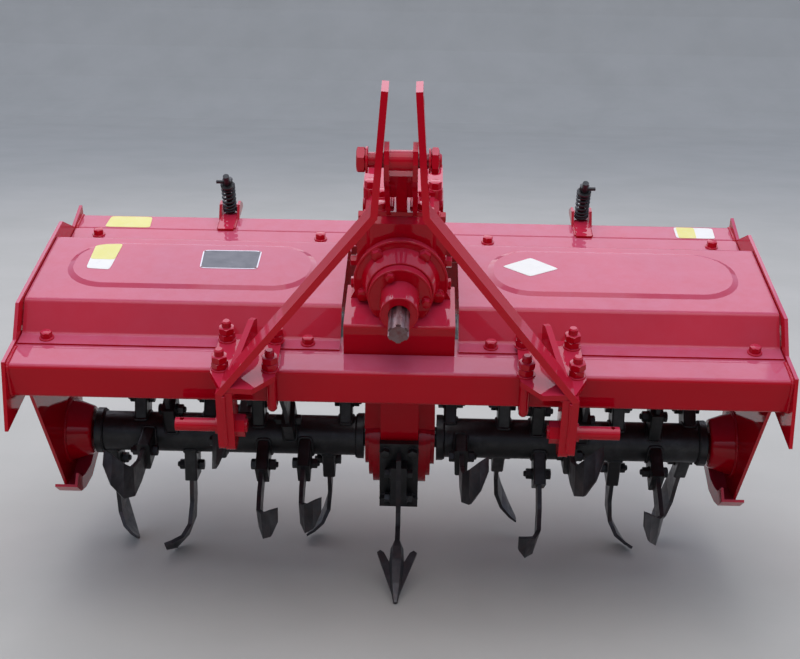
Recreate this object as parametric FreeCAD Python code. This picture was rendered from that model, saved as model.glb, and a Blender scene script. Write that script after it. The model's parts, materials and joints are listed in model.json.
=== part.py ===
import FreeCAD, Part
import math
import os
from collections import namedtuple

# Centre-drive rotary tiller, drawn level in its own frame (rotor axis = X through the origin,
# front = -Y, up = +Z), then every piece gets one parked placement: nose down on the centre share.

V = FreeCAD.Vector
doc = FreeCAD.newDocument("rotary_tiller")
sheet = doc.addObject("Spreadsheet::Sheet", "driving_dimensions")
sheet.Label = "driving dimensions"

# name, value (mm or degrees), what it drives
DIMENSIONS = [
    ("overall_width", 1290, "outside of the side plates"),
    ("side_plate_gauge", 6, "side plate thickness"),
    ("beam_front_y", -298, "front face of the front beam"),
    ("beam_depth", 62, "front to back size of both beams"),
    ("beam_height", 62, "height of both beams"),
    ("beam_top_z", 339, "top of both beams above the rotor axis"),
    ("beam_wall", 5, "wall of both beams"),
    ("rear_beam_y", 196, "front face of the rear beam"),
    ("cover_top_z", 386, "top of the hood covers"),
    ("cover_gauge", 3, "sheet thickness of the covers"),
    ("cover_inner_x", 99, "inner edge of each cover"),
    ("cover_end_gap", 1.5, "cover end to side plate"),
    ("shaft_axis_z", 428, "input shaft above the rotor axis"),
    ("tube_radius", 38, "rotor tube outside radius"),
    ("rotor_end_gap", 52, "rotor tube end to side plate"),
    ("tine_radius", 228, "blade tip radius"),
    ("blade_gauge", 8, "blade thickness"),
    ("mast_bar_gauge", 11, "mast bar thickness"),
    ("mast_bar_width", 46, "mast bar width"),
    ("pin_y", -340, "lower hitch pins"),
    ("pin_z", 260, "lower hitch pins"),
    ("pin_radius", 11, "lower hitch pins"),
    ("park_tilt_deg", 17.4, "nose down angle as parked"),
    ("board_length", 300, "levelling board, hinge to lower edge"),
    ("board_hang_deg", 25, "levelling board from the vertical at its stop"),
    ("rod_x", 347, "spring rods from the middle"),
]
for row, (name, value, note) in enumerate(DIMENSIONS, start=1):
    sheet.set(f"A{row}", name)
    sheet.set(f"B{row}", str(value))
    sheet.set(f"C{row}", note)
    sheet.setAlias(f"B{row}", name)
doc.recompute()


def dim(name):
    """Value of one driving dimension."""
    return float(getattr(sheet, name))


HALF_W = dim("overall_width") / 2
PLATE = dim("side_plate_gauge")
INNER_X = HALF_W - PLATE
BEAM_Y0 = dim("beam_front_y")
BEAM_Y1 = BEAM_Y0 + dim("beam_depth")
BEAM_Z1 = dim("beam_top_z")
BEAM_Z0 = BEAM_Z1 - dim("beam_height")
REAR_Y0 = dim("rear_beam_y")
REAR_Y1 = REAR_Y0 + dim("beam_depth")
WALL = dim("beam_wall")
COVER_IN = dim("cover_inner_x")
COVER_OUT = INNER_X - dim("cover_end_gap")
ROTOR_END = INNER_X - dim("rotor_end_gap")
SHAFT_Z = dim("shaft_axis_z")
TIP_R = dim("tine_radius")
SIDES = (("left", -1), ("right", 1))


# Shape helpers

def box(x0, x1, y0, y1, z0, z1):
    return Part.makeBox(x1 - x0, y1 - y0, z1 - z0, V(x0, y0, z0))


def cyl(axis, radius, start, end, at=(0, 0)):
    """Cylinder along one axis from start to end; at gives the two other coordinates in order."""
    a, b = at
    base = {"x": V(start, a, b), "y": V(a, start, b), "z": V(a, b, start)}[axis]
    way = {"x": V(1, 0, 0), "y": V(0, 1, 0), "z": V(0, 0, 1)}[axis]
    return Part.makeCylinder(radius, end - start, base, way)


def prism(plane, points, start, end):
    """Polygon in the yz, xz or xy plane, pushed along the third axis from start to end."""
    if plane == "yz":
        corners = [V(start, a, b) for a, b in points]
        way = V(end - start, 0, 0)
    elif plane == "xz":
        corners = [V(a, start, b) for a, b in points]
        way = V(0, end - start, 0)
    else:
        corners = [V(a, b, start) for a, b in points]
        way = V(0, 0, end - start)
    return Part.Face(Part.makePolygon(corners + corners[:1])).extrude(way)


def along(shape, axis):
    """Straight edges of a shape that run along one axis."""
    others = [n for n in "xyz" if n != axis]
    found = []
    for edge in shape.Edges:
        start, end = edge.Vertexes[0].Point, edge.Vertexes[-1].Point
        if all(abs(getattr(start, n) - getattr(end, n)) < 1e-6 for n in others):
            found.append(edge)
    return found


def rounded_box(x0, x1, y0, y1, z0, z1, radius, axis="z"):
    """Box with the four edges along one axis rounded."""
    block = box(x0, x1, y0, y1, z0, z1)
    return block.makeFillet(radius, along(block, axis))


def hexagon(axis, flats, start, end, at):
    """Hexagonal prism along x or z, flats apart."""
    reach = flats / 2 / math.cos(math.pi / 6)
    turns = [math.pi / 3 * i for i in range(6)]
    ring = [(at[0] + reach * math.cos(turn), at[1] + reach * math.sin(turn)) for turn in turns]
    return prism("yz" if axis == "x" else "xy", ring, start, end)


def fuse(*shapes):
    out = shapes[0].multiFuse(list(shapes[1:])) if len(shapes) > 1 else shapes[0]
    return out.removeSplitter()


def mirrored(shape, side):
    """A shape drawn on the right side, mirrored for the left one."""
    return shape if side > 0 else shape.mirror(V(0, 0, 0), V(1, 0, 0))


def turned(shape, degrees, centre=V(0, 0, 0), axis=V(1, 0, 0)):
    out = shape.copy()
    out.rotate(centre, axis, degrees)
    return out


def strip(points, width_axis, w0, w1, gauge):
    """Bent flat strip: a polyline in yz offset to one side by gauge, pushed along x from w0 to w1."""
    outer = []
    count = len(points)
    for i, (y, z) in enumerate(points):
        y0, z0 = points[max(i - 1, 0)]
        y1, z1 = points[min(i + 1, count - 1)]
        length = math.hypot(y1 - y0, z1 - z0)
        outer.append((y - (z1 - z0) / length * gauge, z + (y1 - y0) / length * gauge))
    return prism(width_axis, points + outer[::-1], w0, w1)


PIECES = {}


def piece(name, shape):
    """Record one finished piece for its node."""
    PIECES[name] = shape


# Beams

BEAM_CORNER = 7


def beam(y0, y1):
    """Square tube with rounded corners."""
    outer = rounded_box(-INNER_X, INNER_X, y0, y1, BEAM_Z0, BEAM_Z1, BEAM_CORNER, "x")
    return outer.cut(rounded_box(-INNER_X - 1, INNER_X + 1, y0 + WALL, y1 - WALL,
                                 BEAM_Z0 + WALL, BEAM_Z1 - WALL, BEAM_CORNER - WALL, "x"))


LEDGE = 4
LEDGE_DEPTH = 50
LEDGE_TOP = BEAM_Z1 - 1
BASE_HALF = 92
U_BOLT_X = (206, 287)
U_BOLT_Y = (BEAM_Y0 - 10, BEAM_Y1 + 16)
U_BOLT_R = 8


def ledge(y0, y1, side):
    """Strip welded along a beam that carries the cover's edge."""
    return mirrored(box(BASE_HALF, INNER_X, y0, y1, LEDGE_TOP - LEDGE, LEDGE_TOP), side)


STUD_HOLES = Part.makeCompound([cyl("z", U_BOLT_R + 1, BEAM_Z1 - 10, BEAM_Z1 + 5, (sx * x, U_BOLT_Y[1]))
                                for sx in (-1, 1) for x in U_BOLT_X])
front_ledges = [ledge(BEAM_Y1 - BEAM_CORNER, BEAM_Y1 + LEDGE_DEPTH, side) for side in (1, -1)]
rear_ledges = [ledge(REAR_Y0 - LEDGE_DEPTH, REAR_Y0 + BEAM_CORNER, side) for side in (1, -1)]
front = fuse(beam(BEAM_Y0, BEAM_Y1), *front_ledges)
rear = fuse(beam(REAR_Y0, REAR_Y1), *rear_ledges)
piece("front_beam", front.cut(STUD_HOLES))
piece("rear_beam", rear)

# Side plates: nose, hood edge, rear spike, bearing leg (y, z)
SIDE_PLATE = [
    (-335, 233), (-300, 346), (-230, 346), (-188, 393), (117, 393), (189, 345), (260, 357), (260, 270),
    (150, 150), (96, 40), (84, -30), (52, -68), (-30, -84), (-78, -74), (-203, 233),
]
HOUSING_R = 62
HOUSING_DEPTH = 46
SHOE_WIDTH = 42
SHAFT_CORE_R = 20
for label, side in SIDES:
    plate = prism("yz", SIDE_PLATE, INNER_X, HALF_W)
    plate = plate.cut(cyl("x", 30, INNER_X - 1, HALF_W + 1))
    piece(f"side_plate_{label}", mirrored(plate, side))
    cone = Part.makeCone(HOUSING_R, HOUSING_R - 16, HOUSING_DEPTH, V(INNER_X, 0, 0), V(-1, 0, 0))
    face_x = INNER_X - HOUSING_DEPTH
    cone = cone.makeFillet(7, [e for e in cone.Edges if abs(e.BoundBox.XMax - face_x) < 0.01])
    hub = cone.cut(cyl("x", SHAFT_CORE_R + 0.3, face_x - 1, INNER_X + 1))
    piece(f"bearing_housing_{label}", mirrored(hub, side))
    cap = cyl("x", 48, HALF_W, HALF_W + 10).cut(cyl("x", 30, HALF_W - 1, HALF_W + 4))
    piece(f"bearing_cap_{label}", mirrored(cap, side))
    shoe = [(-130, -34), (-108, -60), (-78, -74), (-30, -84), (52, -68), (78, -37.1)]
    sole = strip(shoe, "yz", HALF_W - SHOE_WIDTH, HALF_W, -5)
    upstand = strip(shoe, "yz", HALF_W - SHOE_WIDTH, HALF_W - SHOE_WIDTH + 5, 22)
    shoe_shape = fuse(sole, upstand).cut(plate)
    piece(f"skid_{label}", mirrored(shoe_shape, side))

# Hood covers: one folded sheet each with a pressed panel
G = dim("cover_gauge")
COVER_TOP = dim("cover_top_z")
COVER_FOLD = [
    (BEAM_Y1 + 5, LEDGE_TOP), (-199, LEDGE_TOP), (-160, COVER_TOP - G),
    (68, COVER_TOP - G), (112, LEDGE_TOP),
    (REAR_Y0 - 4, LEDGE_TOP),
]
FOLD_R = 9
PANEL = (COVER_IN + 49, COVER_OUT - 43, -121, 52)
PANEL_RISE = 4
PANEL_SLOPE = 14
PANEL_CORNER = 80


def stadium(inset, z):
    """Rounded outline of the panel, drawn in by inset at one height."""
    x0, x1, y0, y1 = PANEL[0] + inset, PANEL[1] - inset, PANEL[2] + inset, PANEL[3] - inset
    r = PANEL_CORNER - inset
    k = r * math.sqrt(0.5)
    lines, arcs = [], []
    corners = [(x1 - r, y0 + r, 1, -1), (x1 - r, y1 - r, 1, 1),
               (x0 + r, y1 - r, -1, 1), (x0 + r, y0 + r, -1, -1)]
    for i, (cx, cy, sx, sy) in enumerate(corners):
        start, end = V(cx, cy + sy * r, z), V(cx + sx * r, cy, z)
        if i % 2:
            start, end = end, start
        arcs.append(Part.Arc(start, V(cx + sx * k, cy + sy * k, z), end).toShape())
        lines.append((start, end))
    edges = []
    for i, arc in enumerate(arcs):
        edges += [arc, Part.makeLine(lines[i][1], lines[(i + 1) % 4][0])]
    return Part.Wire(edges)


def pressed(inset, z0, z1):
    """Pressed step: sloped sides from the sheet up to the flat of the panel."""
    return Part.makeLoft([stadium(inset, z0), stadium(inset + PANEL_SLOPE, z1)], True, True)


def offset_line(points, reach):
    """Open polyline moved to its left side by reach, mitred at the corners."""
    moved = []
    last = len(points) - 1
    for i, (y, z) in enumerate(points):
        before, after = points[max(i - 1, 0)], points[min(i + 1, last)]
        a0 = math.atan2(z - before[1], y - before[0]) if i else math.atan2(after[1] - z, after[0] - y)
        a1 = math.atan2(after[1] - z, after[0] - y) if i < last else a0
        mid, mitre = (a0 + a1) / 2, reach / math.cos((a1 - a0) / 2)
        moved.append((y - math.sin(mid) * mitre, z + math.cos(mid) * mitre))
    return moved


def cover():
    """Sheet folded over the rotor with rounded folds, plus its pressed panel."""
    over = offset_line(COVER_FOLD, G)
    sheet_part = prism("yz", COVER_FOLD + over[::-1], COVER_IN, COVER_OUT)
    under_radii = (FOLD_R + G, FOLD_R, FOLD_R, FOLD_R + G)
    over_radii = (FOLD_R, FOLD_R + G, FOLD_R + G, FOLD_R)
    for line, radii in ((COVER_FOLD, under_radii), (over, over_radii)):
        for (y, z), radius in zip(line[1:-1], radii):
            fold = [e for e in along(sheet_part, "x")
                    if math.hypot(e.Vertexes[0].Y - y, e.Vertexes[0].Z - z) < 0.01]
            sheet_part = sheet_part.makeFillet(radius, fold)
    raised = sheet_part.fuse(pressed(0, COVER_TOP - G / 2, COVER_TOP + PANEL_RISE))
    hollow = pressed(G, COVER_TOP - 2 * G, COVER_TOP + PANEL_RISE - G)
    return raised.cut(hollow).cut(STUD_HOLES).removeSplitter()


COVER = cover()
for label, side in SIDES:
    piece(f"cover_{label}", mirrored(COVER, side))

# Gear case: upper housing with side covers, base that meets both beams, leg down to the rotor axis
BOX_HALF = 62
BOX_Y0, BOX_Y1 = -140, 70
BOX_TOP = 539
LID = 8
LEG_HALF = 35
LEG_R = 92
HUB_HALF = 66
HUB_STEPS = [(86, LEG_HALF, 50), (74, 50, 58), (52, 58, HUB_HALF)]


def gear_case():
    """Casting drawn as one solid: its closed inside is left out."""
    upper = rounded_box(-BOX_HALF, BOX_HALF, BOX_Y0, BOX_Y1, BEAM_Z0 + 6, BOX_TOP, 14)
    upper = upper.makeChamfer(9, [e for e in along(upper, "x") if e.BoundBox.ZMin > BOX_TOP - 1])
    lid = rounded_box(-BOX_HALF - 6, BOX_HALF + 6, -52, BOX_Y1 + 4, BOX_TOP - 10, BOX_TOP + LID, 16)
    side_cover = rounded_box(-BOX_HALF - 12, BOX_HALF + 12, BOX_Y0 + 4, BOX_Y0 + 30, BEAM_Z1, 512, 9, "y")
    rear_rib = rounded_box(-BOX_HALF - 8, BOX_HALF + 8, -20, 40, BEAM_Z1 + 40, 512, 12, "x")
    base = rounded_box(-BASE_HALF, BASE_HALF, BEAM_Y1, BOX_Y0 + 44, BEAM_Z0 + 6, 391, 5, "x")
    shoulder_line = [(-BASE_HALF + 6, 388), (BASE_HALF - 6, 388), (BOX_HALF, 440), (-BOX_HALF, 440)]
    shoulder = prism("xz", shoulder_line, -190, -96)
    shoulder = shoulder.cut(box(-BASE_HALF, BASE_HALF, -191, BOX_Y0 - 4, 380, 441))
    tail_line = [(0, BEAM_Z0 + 6), (REAR_Y0, BEAM_Z0 + 6), (REAR_Y0, BEAM_Z1 - 4), (BOX_Y1, 400), (0, 400)]
    tail = prism("yz", tail_line, -34, 34)
    leg_line = [(-LEG_R, 0), (-106, BEAM_Z0 + 10), (40, BEAM_Z0 + 10), (LEG_R, 0)]
    leg = prism("yz", leg_line, -LEG_HALF, LEG_HALF)
    foot = cyl("x", LEG_R, -LEG_HALF, LEG_HALF)
    hubs = [mirrored(cyl("x", r, x0 - 1, x1), s) for r, x0, x1 in HUB_STEPS for s in (1, -1)]
    neck_line = [(-HUB_HALF, 60), (HUB_HALF, 60), (BOX_HALF, BEAM_Z0 + 8), (-BOX_HALF, BEAM_Z0 + 8)]
    neck = prism("xz", neck_line, -60, 30)
    solid = fuse(upper, lid, side_cover, rear_rib, base, shoulder, tail, leg, foot, neck, *hubs)
    return solid.cut(cyl("x", 24, -HUB_HALF - 1, HUB_HALF + 1))


# Input side: bolted flange, neck, seal ring and snout, bored for the shaft
FLANGE_STEPS = [(79, 77, BOX_Y0 - 16, BOX_Y0 + 4), (56, 66, -190, BOX_Y0 - 16), (53, 53, -208, -190),
                (31, 33, -262, -208)]
SHAFT_R = 17.5
SHAFT_BORE_R = SHAFT_R + 0.3
SHAFT_END = -322


def flange_step(r_front, r_back, y0, y1):
    """One step of the input flange, straight or tapered."""
    if r_front == r_back:
        return cyl("y", r_front, y0, y1, (0, SHAFT_Z))
    return Part.makeCone(r_front, r_back, y1 - y0, V(0, y0, SHAFT_Z), V(0, 1, 0))


flange = fuse(*[flange_step(*row) for row in FLANGE_STEPS])
GEAR_CASE = gear_case().cut(flange).cut(cyl("y", 40, BOX_Y0 - 1, BOX_Y0 + 30, (0, SHAFT_Z)))
piece("gear_case", GEAR_CASE)
piece("input_flange", flange.cut(cyl("y", SHAFT_BORE_R, -263, BOX_Y0 + 5, (0, SHAFT_Z))))

SPLINES = 6


def input_shaft():
    core = cyl("y", SHAFT_R - 3, SHAFT_END, -170, (0, SHAFT_Z))
    teeth = []
    for i in range(SPLINES):
        tooth = box(-4, 4, SHAFT_END + 2, -250, 0, SHAFT_R).common(cyl("y", SHAFT_R, SHAFT_END + 2, -250))
        tooth.rotate(V(0, 0, 0), V(0, 1, 0), 360 / SPLINES * i)
        tooth.translate(V(0, 0, SHAFT_Z))
        teeth.append(tooth)
    collar = cyl("y", SHAFT_R, -250, -170, (0, SHAFT_Z))
    return fuse(core, collar, *teeth)


piece("input_shaft", input_shaft())

# Top lugs on the gear case that hold the mast
CROSS_Y, CROSS_Z = -239, 688
LUG_SIDE = [
    (-66, BOX_TOP), (-128, BOX_TOP), (CROSS_Y - 17, CROSS_Z - 28), (CROSS_Y - 23, CROSS_Z + 2),
    (CROSS_Y - 17, CROSS_Z + 22), (CROSS_Y, CROSS_Z + 30), (CROSS_Y + 17, CROSS_Z + 24),
    (CROSS_Y + 31, CROSS_Z + 6),
]
lugs = [mirrored(prism("yz", LUG_SIDE, 18, 26), s) for s in (1, -1)]
lug_foot = rounded_box(-44, 44, -130, -56, BOX_TOP, BOX_TOP + LID, 10)
WEB_TOP = [(CROSS_Y + 25, CROSS_Z - 38), (CROSS_Y + 43, CROSS_Z - 30)]
centre_rib = prism("yz", [(-60, BOX_TOP + 4), (-126, BOX_TOP + 4)] + WEB_TOP, -9, 9)
WEB_FOOT = [(y + 54, z - 62) for y, z in WEB_TOP]
rib_web = prism("yz", [WEB_FOOT[0]] + WEB_TOP + [WEB_FOOT[1]], -18, 18)
lug_bore = cyl("x", 13, -60, 60, (CROSS_Y, CROSS_Z))
piece("mast_lugs", fuse(lugs[0], lugs[1], lug_foot, centre_rib, rib_web).cut(lug_bore))

# Mast bars: lower leg upright in front of the beam, then leaning back, splayed, and close together on top
BAR_PATH = [(-281.5, 228), (-281.5, 338), (-40, CROSS_Z - 76), (-26, CROSS_Z + 106)]
FOOT_Y = -347
BAR_T = dim("mast_bar_gauge")
BAR_W = dim("mast_bar_width")
KNEE_LOW = BAR_PATH[1][1]
LEAN = (CROSS_Y - FOOT_Y) / (CROSS_Z - KNEE_LOW)
TOP_BORE_Z = CROSS_Z + 84


def bar_y(z):
    """Middle of the bar front to back at a height."""
    return FOOT_Y + LEAN * max(0.0, z - KNEE_LOW)


def mast_bar():
    """Bent flat bar as one ruled loft per straight run, drawn on the left."""
    offsets = []
    count = len(BAR_PATH)
    for i, (x, z) in enumerate(BAR_PATH):
        ways = []
        if i:
            ways.append(math.atan2(z - BAR_PATH[i - 1][1], x - BAR_PATH[i - 1][0]))
        if i < count - 1:
            ways.append(math.atan2(BAR_PATH[i + 1][1] - z, BAR_PATH[i + 1][0] - x))
        mid = sum(ways) / len(ways)
        reach = BAR_T / 2 / math.cos((ways[-1] - ways[0]) / 2)
        offsets.append((-math.sin(mid) * reach, math.cos(mid) * reach))
    runs = []
    for i in range(count - 1):
        wires = []
        for j in (i, i + 1):
            (x, z), (ox, oz) = BAR_PATH[j], offsets[j]
            y = bar_y(z)
            ring = [V(x + ox, y - BAR_W / 2, z + oz), V(x + ox, y + BAR_W / 2, z + oz),
                    V(x - ox, y + BAR_W / 2, z - oz), V(x - ox, y - BAR_W / 2, z - oz)]
            wires.append(Part.makePolygon(ring + ring[:1]))
        runs.append(Part.makeLoft(wires, True, True))
    bar = fuse(*runs)
    bar = bar.makeFillet(14, [e for e in along(bar, "x") if e.BoundBox.ZMax < BAR_PATH[0][1] + 1])
    cuts = [cyl("x", dim("pin_radius") + 0.5, -300, -262, (dim("pin_y"), dim("pin_z"))),
            cyl("x", 13, -60, -20, (CROSS_Y, CROSS_Z)),
            cyl("x", 9.5, -45, -15, (bar_y(TOP_BORE_Z), TOP_BORE_Z))]
    for tool in cuts:
        bar = bar.cut(tool)
    return bar


MAST_BAR = mast_bar()
for label, side in SIDES:
    piece(f"mast_bar_{label}", mirrored(MAST_BAR, -side))
bolt_parts = [cyl("x", 12, -64, 62, (CROSS_Y, CROSS_Z)), cyl("x", 16, -18, 18, (CROSS_Y, CROSS_Z)),
              hexagon("x", 36, -68, -54, (CROSS_Y, CROSS_Z)), cyl("x", 20, -54, -50, (CROSS_Y, CROSS_Z)),
              hexagon("x", 36, 46, 58, (CROSS_Y, CROSS_Z))]
piece("mast_cross_bolt", fuse(*bolt_parts))

# Lower hitch: base plate held on the beam by two U-bolts, gusset, lug in front of the beam
BASE_OUTLINE = [(-301, -202), (-302, -318), (-281, -364), (-229, -368), (-196, -328), (-196, -202)]
HITCH_Z = BEAM_Z1
HITCH_TOP = HITCH_Z + 10
LUG_X = (BAR_PATH[0][0] + BAR_T / 2, BAR_PATH[0][0] + BAR_T / 2 + 15)
PIN_AT = (dim("pin_y"), dim("pin_z"))
PIN_END = -360


def hitch_bracket():
    """Base plate, the slanting gusset behind the bar and the lug beside its foot."""
    base = prism("xy", BASE_OUTLINE, HITCH_Z, HITCH_TOP)
    gusset = prism("yz", [(-125, 0), (-118, 12), (-14, 45), (0, 41), (0, 0)], -5, 5)
    gusset.rotate(V(0, 0, 0), V(0, 0, 1), -12)
    gusset.translate(V(-241, -216, HITCH_TOP))
    lug = box(*LUG_X, -366, -316, 222, HITCH_Z)
    lug = lug.makeFillet(16, [e for e in along(lug, "x") if e.BoundBox.ZMax < 223])
    solid = fuse(base, gusset, lug)
    for x in U_BOLT_X:
        for y in U_BOLT_Y:
            solid = solid.cut(cyl("z", U_BOLT_R + 0.5, HITCH_Z - 1, HITCH_TOP + 1, (-x, y)))
    solid = solid.cut(box(-310, -190, BEAM_Y1 + 3, -180, HITCH_Z - 1, HITCH_Z + G - 0.5))
    solid = solid.cut(cyl("x", dim("pin_radius") + 0.5, -300, -250, PIN_AT))
    return solid.cut(MAST_BAR)


def u_bolt(x):
    """Round bar bent under the beam, both ends up through the base plate, with its nuts."""
    y0, y1 = U_BOLT_Y
    low, bend, top = BEAM_Z0 - U_BOLT_R - 0.2, 14, 386
    k = bend * (1 - math.sqrt(0.5))
    edges = [Part.makeLine(V(x, y0, top), V(x, y0, low + bend)),
             Part.Arc(V(x, y0, low + bend), V(x, y0 + k, low + k), V(x, y0 + bend, low)).toShape(),
             Part.makeLine(V(x, y0 + bend, low), V(x, y1 - bend, low)),
             Part.Arc(V(x, y1 - bend, low), V(x, y1 - k, low + k), V(x, y1, low + bend)).toShape(),
             Part.makeLine(V(x, y1, low + bend), V(x, y1, top))]
    ring = Part.Wire([Part.makeCircle(U_BOLT_R, V(x, y0, top), V(0, 0, -1))])
    bar = Part.Wire(edges).makePipeShell([ring], True, False)
    nuts = [hexagon("z", 24, HITCH_TOP, HITCH_TOP + 26, (x, y)) for y in U_BOLT_Y]
    return fuse(bar, *nuts)


def hitch_pin():
    """Turned pin: stub for the lower link outside, collar against the bar, nut behind the lug."""
    shaft = cyl("x", dim("pin_radius"), PIN_END, LUG_X[1] + 18, PIN_AT)
    collar = cyl("x", 15, BAR_PATH[0][0] - BAR_T / 2 - 7, BAR_PATH[0][0] - BAR_T / 2, PIN_AT)
    nut = hexagon("x", 32, LUG_X[1], LUG_X[1] + 15, PIN_AT)
    clip_hole = cyl("z", 3.5, PIN_AT[1] - 20, PIN_AT[1] + 20, (PIN_END + 11, PIN_AT[0]))
    return fuse(shaft, collar, nut).cut(clip_hole)


for label, side in SIDES:
    piece(f"hitch_bracket_{label}", mirrored(hitch_bracket(), -side))
    piece(f"hitch_u_bolts_{label}", mirrored(Part.makeCompound([u_bolt(-x) for x in U_BOLT_X]), -side))
    piece(f"hitch_pin_{label}", mirrored(hitch_pin(), -side))

# Rotor: through shaft, two tubes with welded sockets, and the blades
piece("rotor_shaft", cyl("x", SHAFT_CORE_R, -HALF_W + 4, HALF_W - 4))

# root as a share of the tube's outer end, degrees from straight down towards the front, way of the bend
Blade = namedtuple("Blade", "root angle way")
BLADES = {
    -1: [
        Blade(0.821, 93, -1), Blade(0.954, -2, 1), Blade(0.690, 16, -1), Blade(0.573, 112, 1),
        Blade(0.445, 64, 1), Blade(0.237, -10, -1), Blade(0.309, 71, 1), Blade(0.852, 205, -1),
        Blade(0.747, 165, 1), Blade(0.628, 220, -1), Blade(0.464, 190, 1), Blade(0.359, 150, -1),
        Blade(0.179, 205, 1), Blade(0.520, 262, -1),
    ],
    1: [
        Blade(0.199, 94, 1), Blade(0.329, -27, 1), Blade(0.457, 46, -1), Blade(0.546, 100, 1),
        Blade(0.711, -4, 1), Blade(0.832, 67, -1), Blade(0.944, -24, -1), Blade(0.163, 215, 1),
        Blade(0.339, 200, -1), Blade(0.447, 180, 1), Blade(0.590, 160, -1), Blade(0.710, 200, 1),
        Blade(0.826, 172, -1), Blade(0.949, 225, -1),
    ],
}
# along the blade: share of the tip radius, sideways, half width, lean of the face, trail behind the shank,
# share of the gauge, clearance turn that keeps the cutting edge outermost (angles in degrees)
Section = namedtuple("Section", "reach aside half lean trail thin clear")
BLADE_RUN = [
    Section(0.200, 0, 19, 0, 0, 1.0, 0),
    Section(0.600, 0, 22, 0, 0, 1.0, 0),
    Section(0.800, 3, 29, 14, 2, 1.0, 5),
    Section(0.910, 14, 33, 42, 7, 0.9, 12),
    Section(0.965, 31, 27, 62, 14, 0.8, 20),
    Section(0.975, 44, 14, 72, 20, 0.6, 24),
]
BLADE_T = dim("blade_gauge")
SOCKET_R0, SOCKET_R1 = 30, 0.40 * TIP_R
SOCKET_HALF_X, SOCKET_HALF_Y = 12, 27


def blade_ring(x, way, section):
    """Rectangle across the blade at one section, drawn hanging straight down and turned by its trail."""
    lean, clear = math.radians(section.lean), math.radians(section.clear)
    half_t = BLADE_T / 2 * section.thin
    out_x, out_r = -way * math.cos(lean) * half_t, math.sin(lean) * half_t
    edge_y, edge_r = math.cos(clear) * section.half, math.sin(clear) * section.half
    cx, cr = x + way * section.aside, section.reach * TIP_R
    corners = [V(cx + s * out_x, t * edge_y, -cr - s * out_r - t * edge_r)
               for s, t in ((1, 1), (1, -1), (-1, -1), (-1, 1))]
    return turned(Part.makePolygon(corners + corners[:1]), -section.trail)


def blade(row, end):
    """Straight shank that bends sideways into a scoop, one ruled loft through all sections."""
    rings = [blade_ring(row.root * end, row.way, section) for section in BLADE_RUN]
    return turned(Part.makeLoft(rings, True, True), -row.angle)


def socket(row, end):
    """Welded box socket round the blade's shank."""
    x = row.root * end
    outer = box(x - SOCKET_HALF_X, x + SOCKET_HALF_X, -SOCKET_HALF_Y, SOCKET_HALF_Y, -SOCKET_R1, -SOCKET_R0)
    return turned(outer.makeFillet(4, along(outer, "z")), -row.angle)


def rotor_tube(side):
    """Tube with its end flanges and sockets, bored for the through shaft."""
    x0, x1 = HUB_HALF + 4, ROTOR_END
    ring_r = dim("tube_radius") + 6
    rings = [cyl("x", ring_r, x0, x0 + 12), cyl("x", ring_r, x1 - 12, x1)]
    parts = [cyl("x", dim("tube_radius"), x0, x1)] + rings
    solid = fuse(mirrored(fuse(*parts), side), *[socket(row, side * ROTOR_END) for row in BLADES[side]])
    hollow = cyl("x", dim("tube_radius") - 7, x0 + 14, x1 - 14).fuse(cyl("x", SHAFT_CORE_R, x0 - 1, x1 + 1))
    return solid.cut(mirrored(hollow, side))


for label, side in SIDES:
    blades = [blade(row, side * ROTOR_END) for row in BLADES[side]]
    tube = rotor_tube(side)
    for shape in blades:
        tube = tube.cut(shape)
    piece(f"rotor_tube_{label}", tube)
    piece(f"blades_{label}", Part.makeCompound(blades))

# Centre share under the gear case, its tip on the same floor as the lowest blades
PARK_TILT = FreeCAD.Rotation(V(1, 0, 0), dim("park_tilt_deg"))
TILT_C, TILT_S = math.cos(math.radians(dim("park_tilt_deg"))), math.sin(math.radians(dim("park_tilt_deg")))


def lowest(names):
    """Lowest height of some pieces once parked, from the rotor axis."""
    group = Part.makeCompound([PIECES[name] for name in names])
    group.Placement = FreeCAD.Placement(V(0, 0, 0), PARK_TILT)
    return group.optimalBoundingBox(False).ZMin


FLOOR = lowest(["blades_left", "blades_right"])
MOUNT_Y = -LEG_R - 20
SHANK_T = 9
SHARE_TIP_Y = MOUNT_Y - 204
TIP_Z = (FLOOR - SHARE_TIP_Y * TILT_S) / TILT_C


def share_bracket():
    """Plate on the front of the foot with two cheeks on the casting and two that hold the shank."""
    plate = box(-36, 36, MOUNT_Y, MOUNT_Y + 12, -83, 63)
    backs = [box(s * 32 - 4, s * 32 + 4, MOUNT_Y + 11, -LEG_R + 34, -60, 60) for s in (-1, 1)]
    grips = [mirrored(box(SHANK_T / 2, 15, MOUNT_Y - 26, MOUNT_Y + 1, -62, 26), s) for s in (-1, 1)]
    return fuse(plate, *backs, *grips).cut(GEAR_CASE)


piece("share_bracket", share_bracket())
SHANK_SIDE = [(0, 44), (-26, 44), (-26, -78), (-34, -102), (-100, -94),
              (-100, -108), (-40, -124), (-16, -118), (0, -84)]
SHANK = prism("yz", [(MOUNT_Y + y, z) for y, z in SHANK_SIDE], -SHANK_T / 2, SHANK_T / 2)
piece("share_shank", SHANK)

# boss of the share: distance behind the tip, half width, height above and depth below the line of the tip
Boss = namedtuple("Boss", "back half above below")
BOSS = [Boss(2, 4, 3, 3), Boss(36, 10, 11, 3), Boss(84, 14, 15, 4), Boss(116, 12, 14, 5), Boss(132, 6, 8, 5)]
WING = [(0, 0), (112, 37), (116, 31), (110, 24), (76, 8), (76, 0)]
SHARE_RISE = 17


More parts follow.
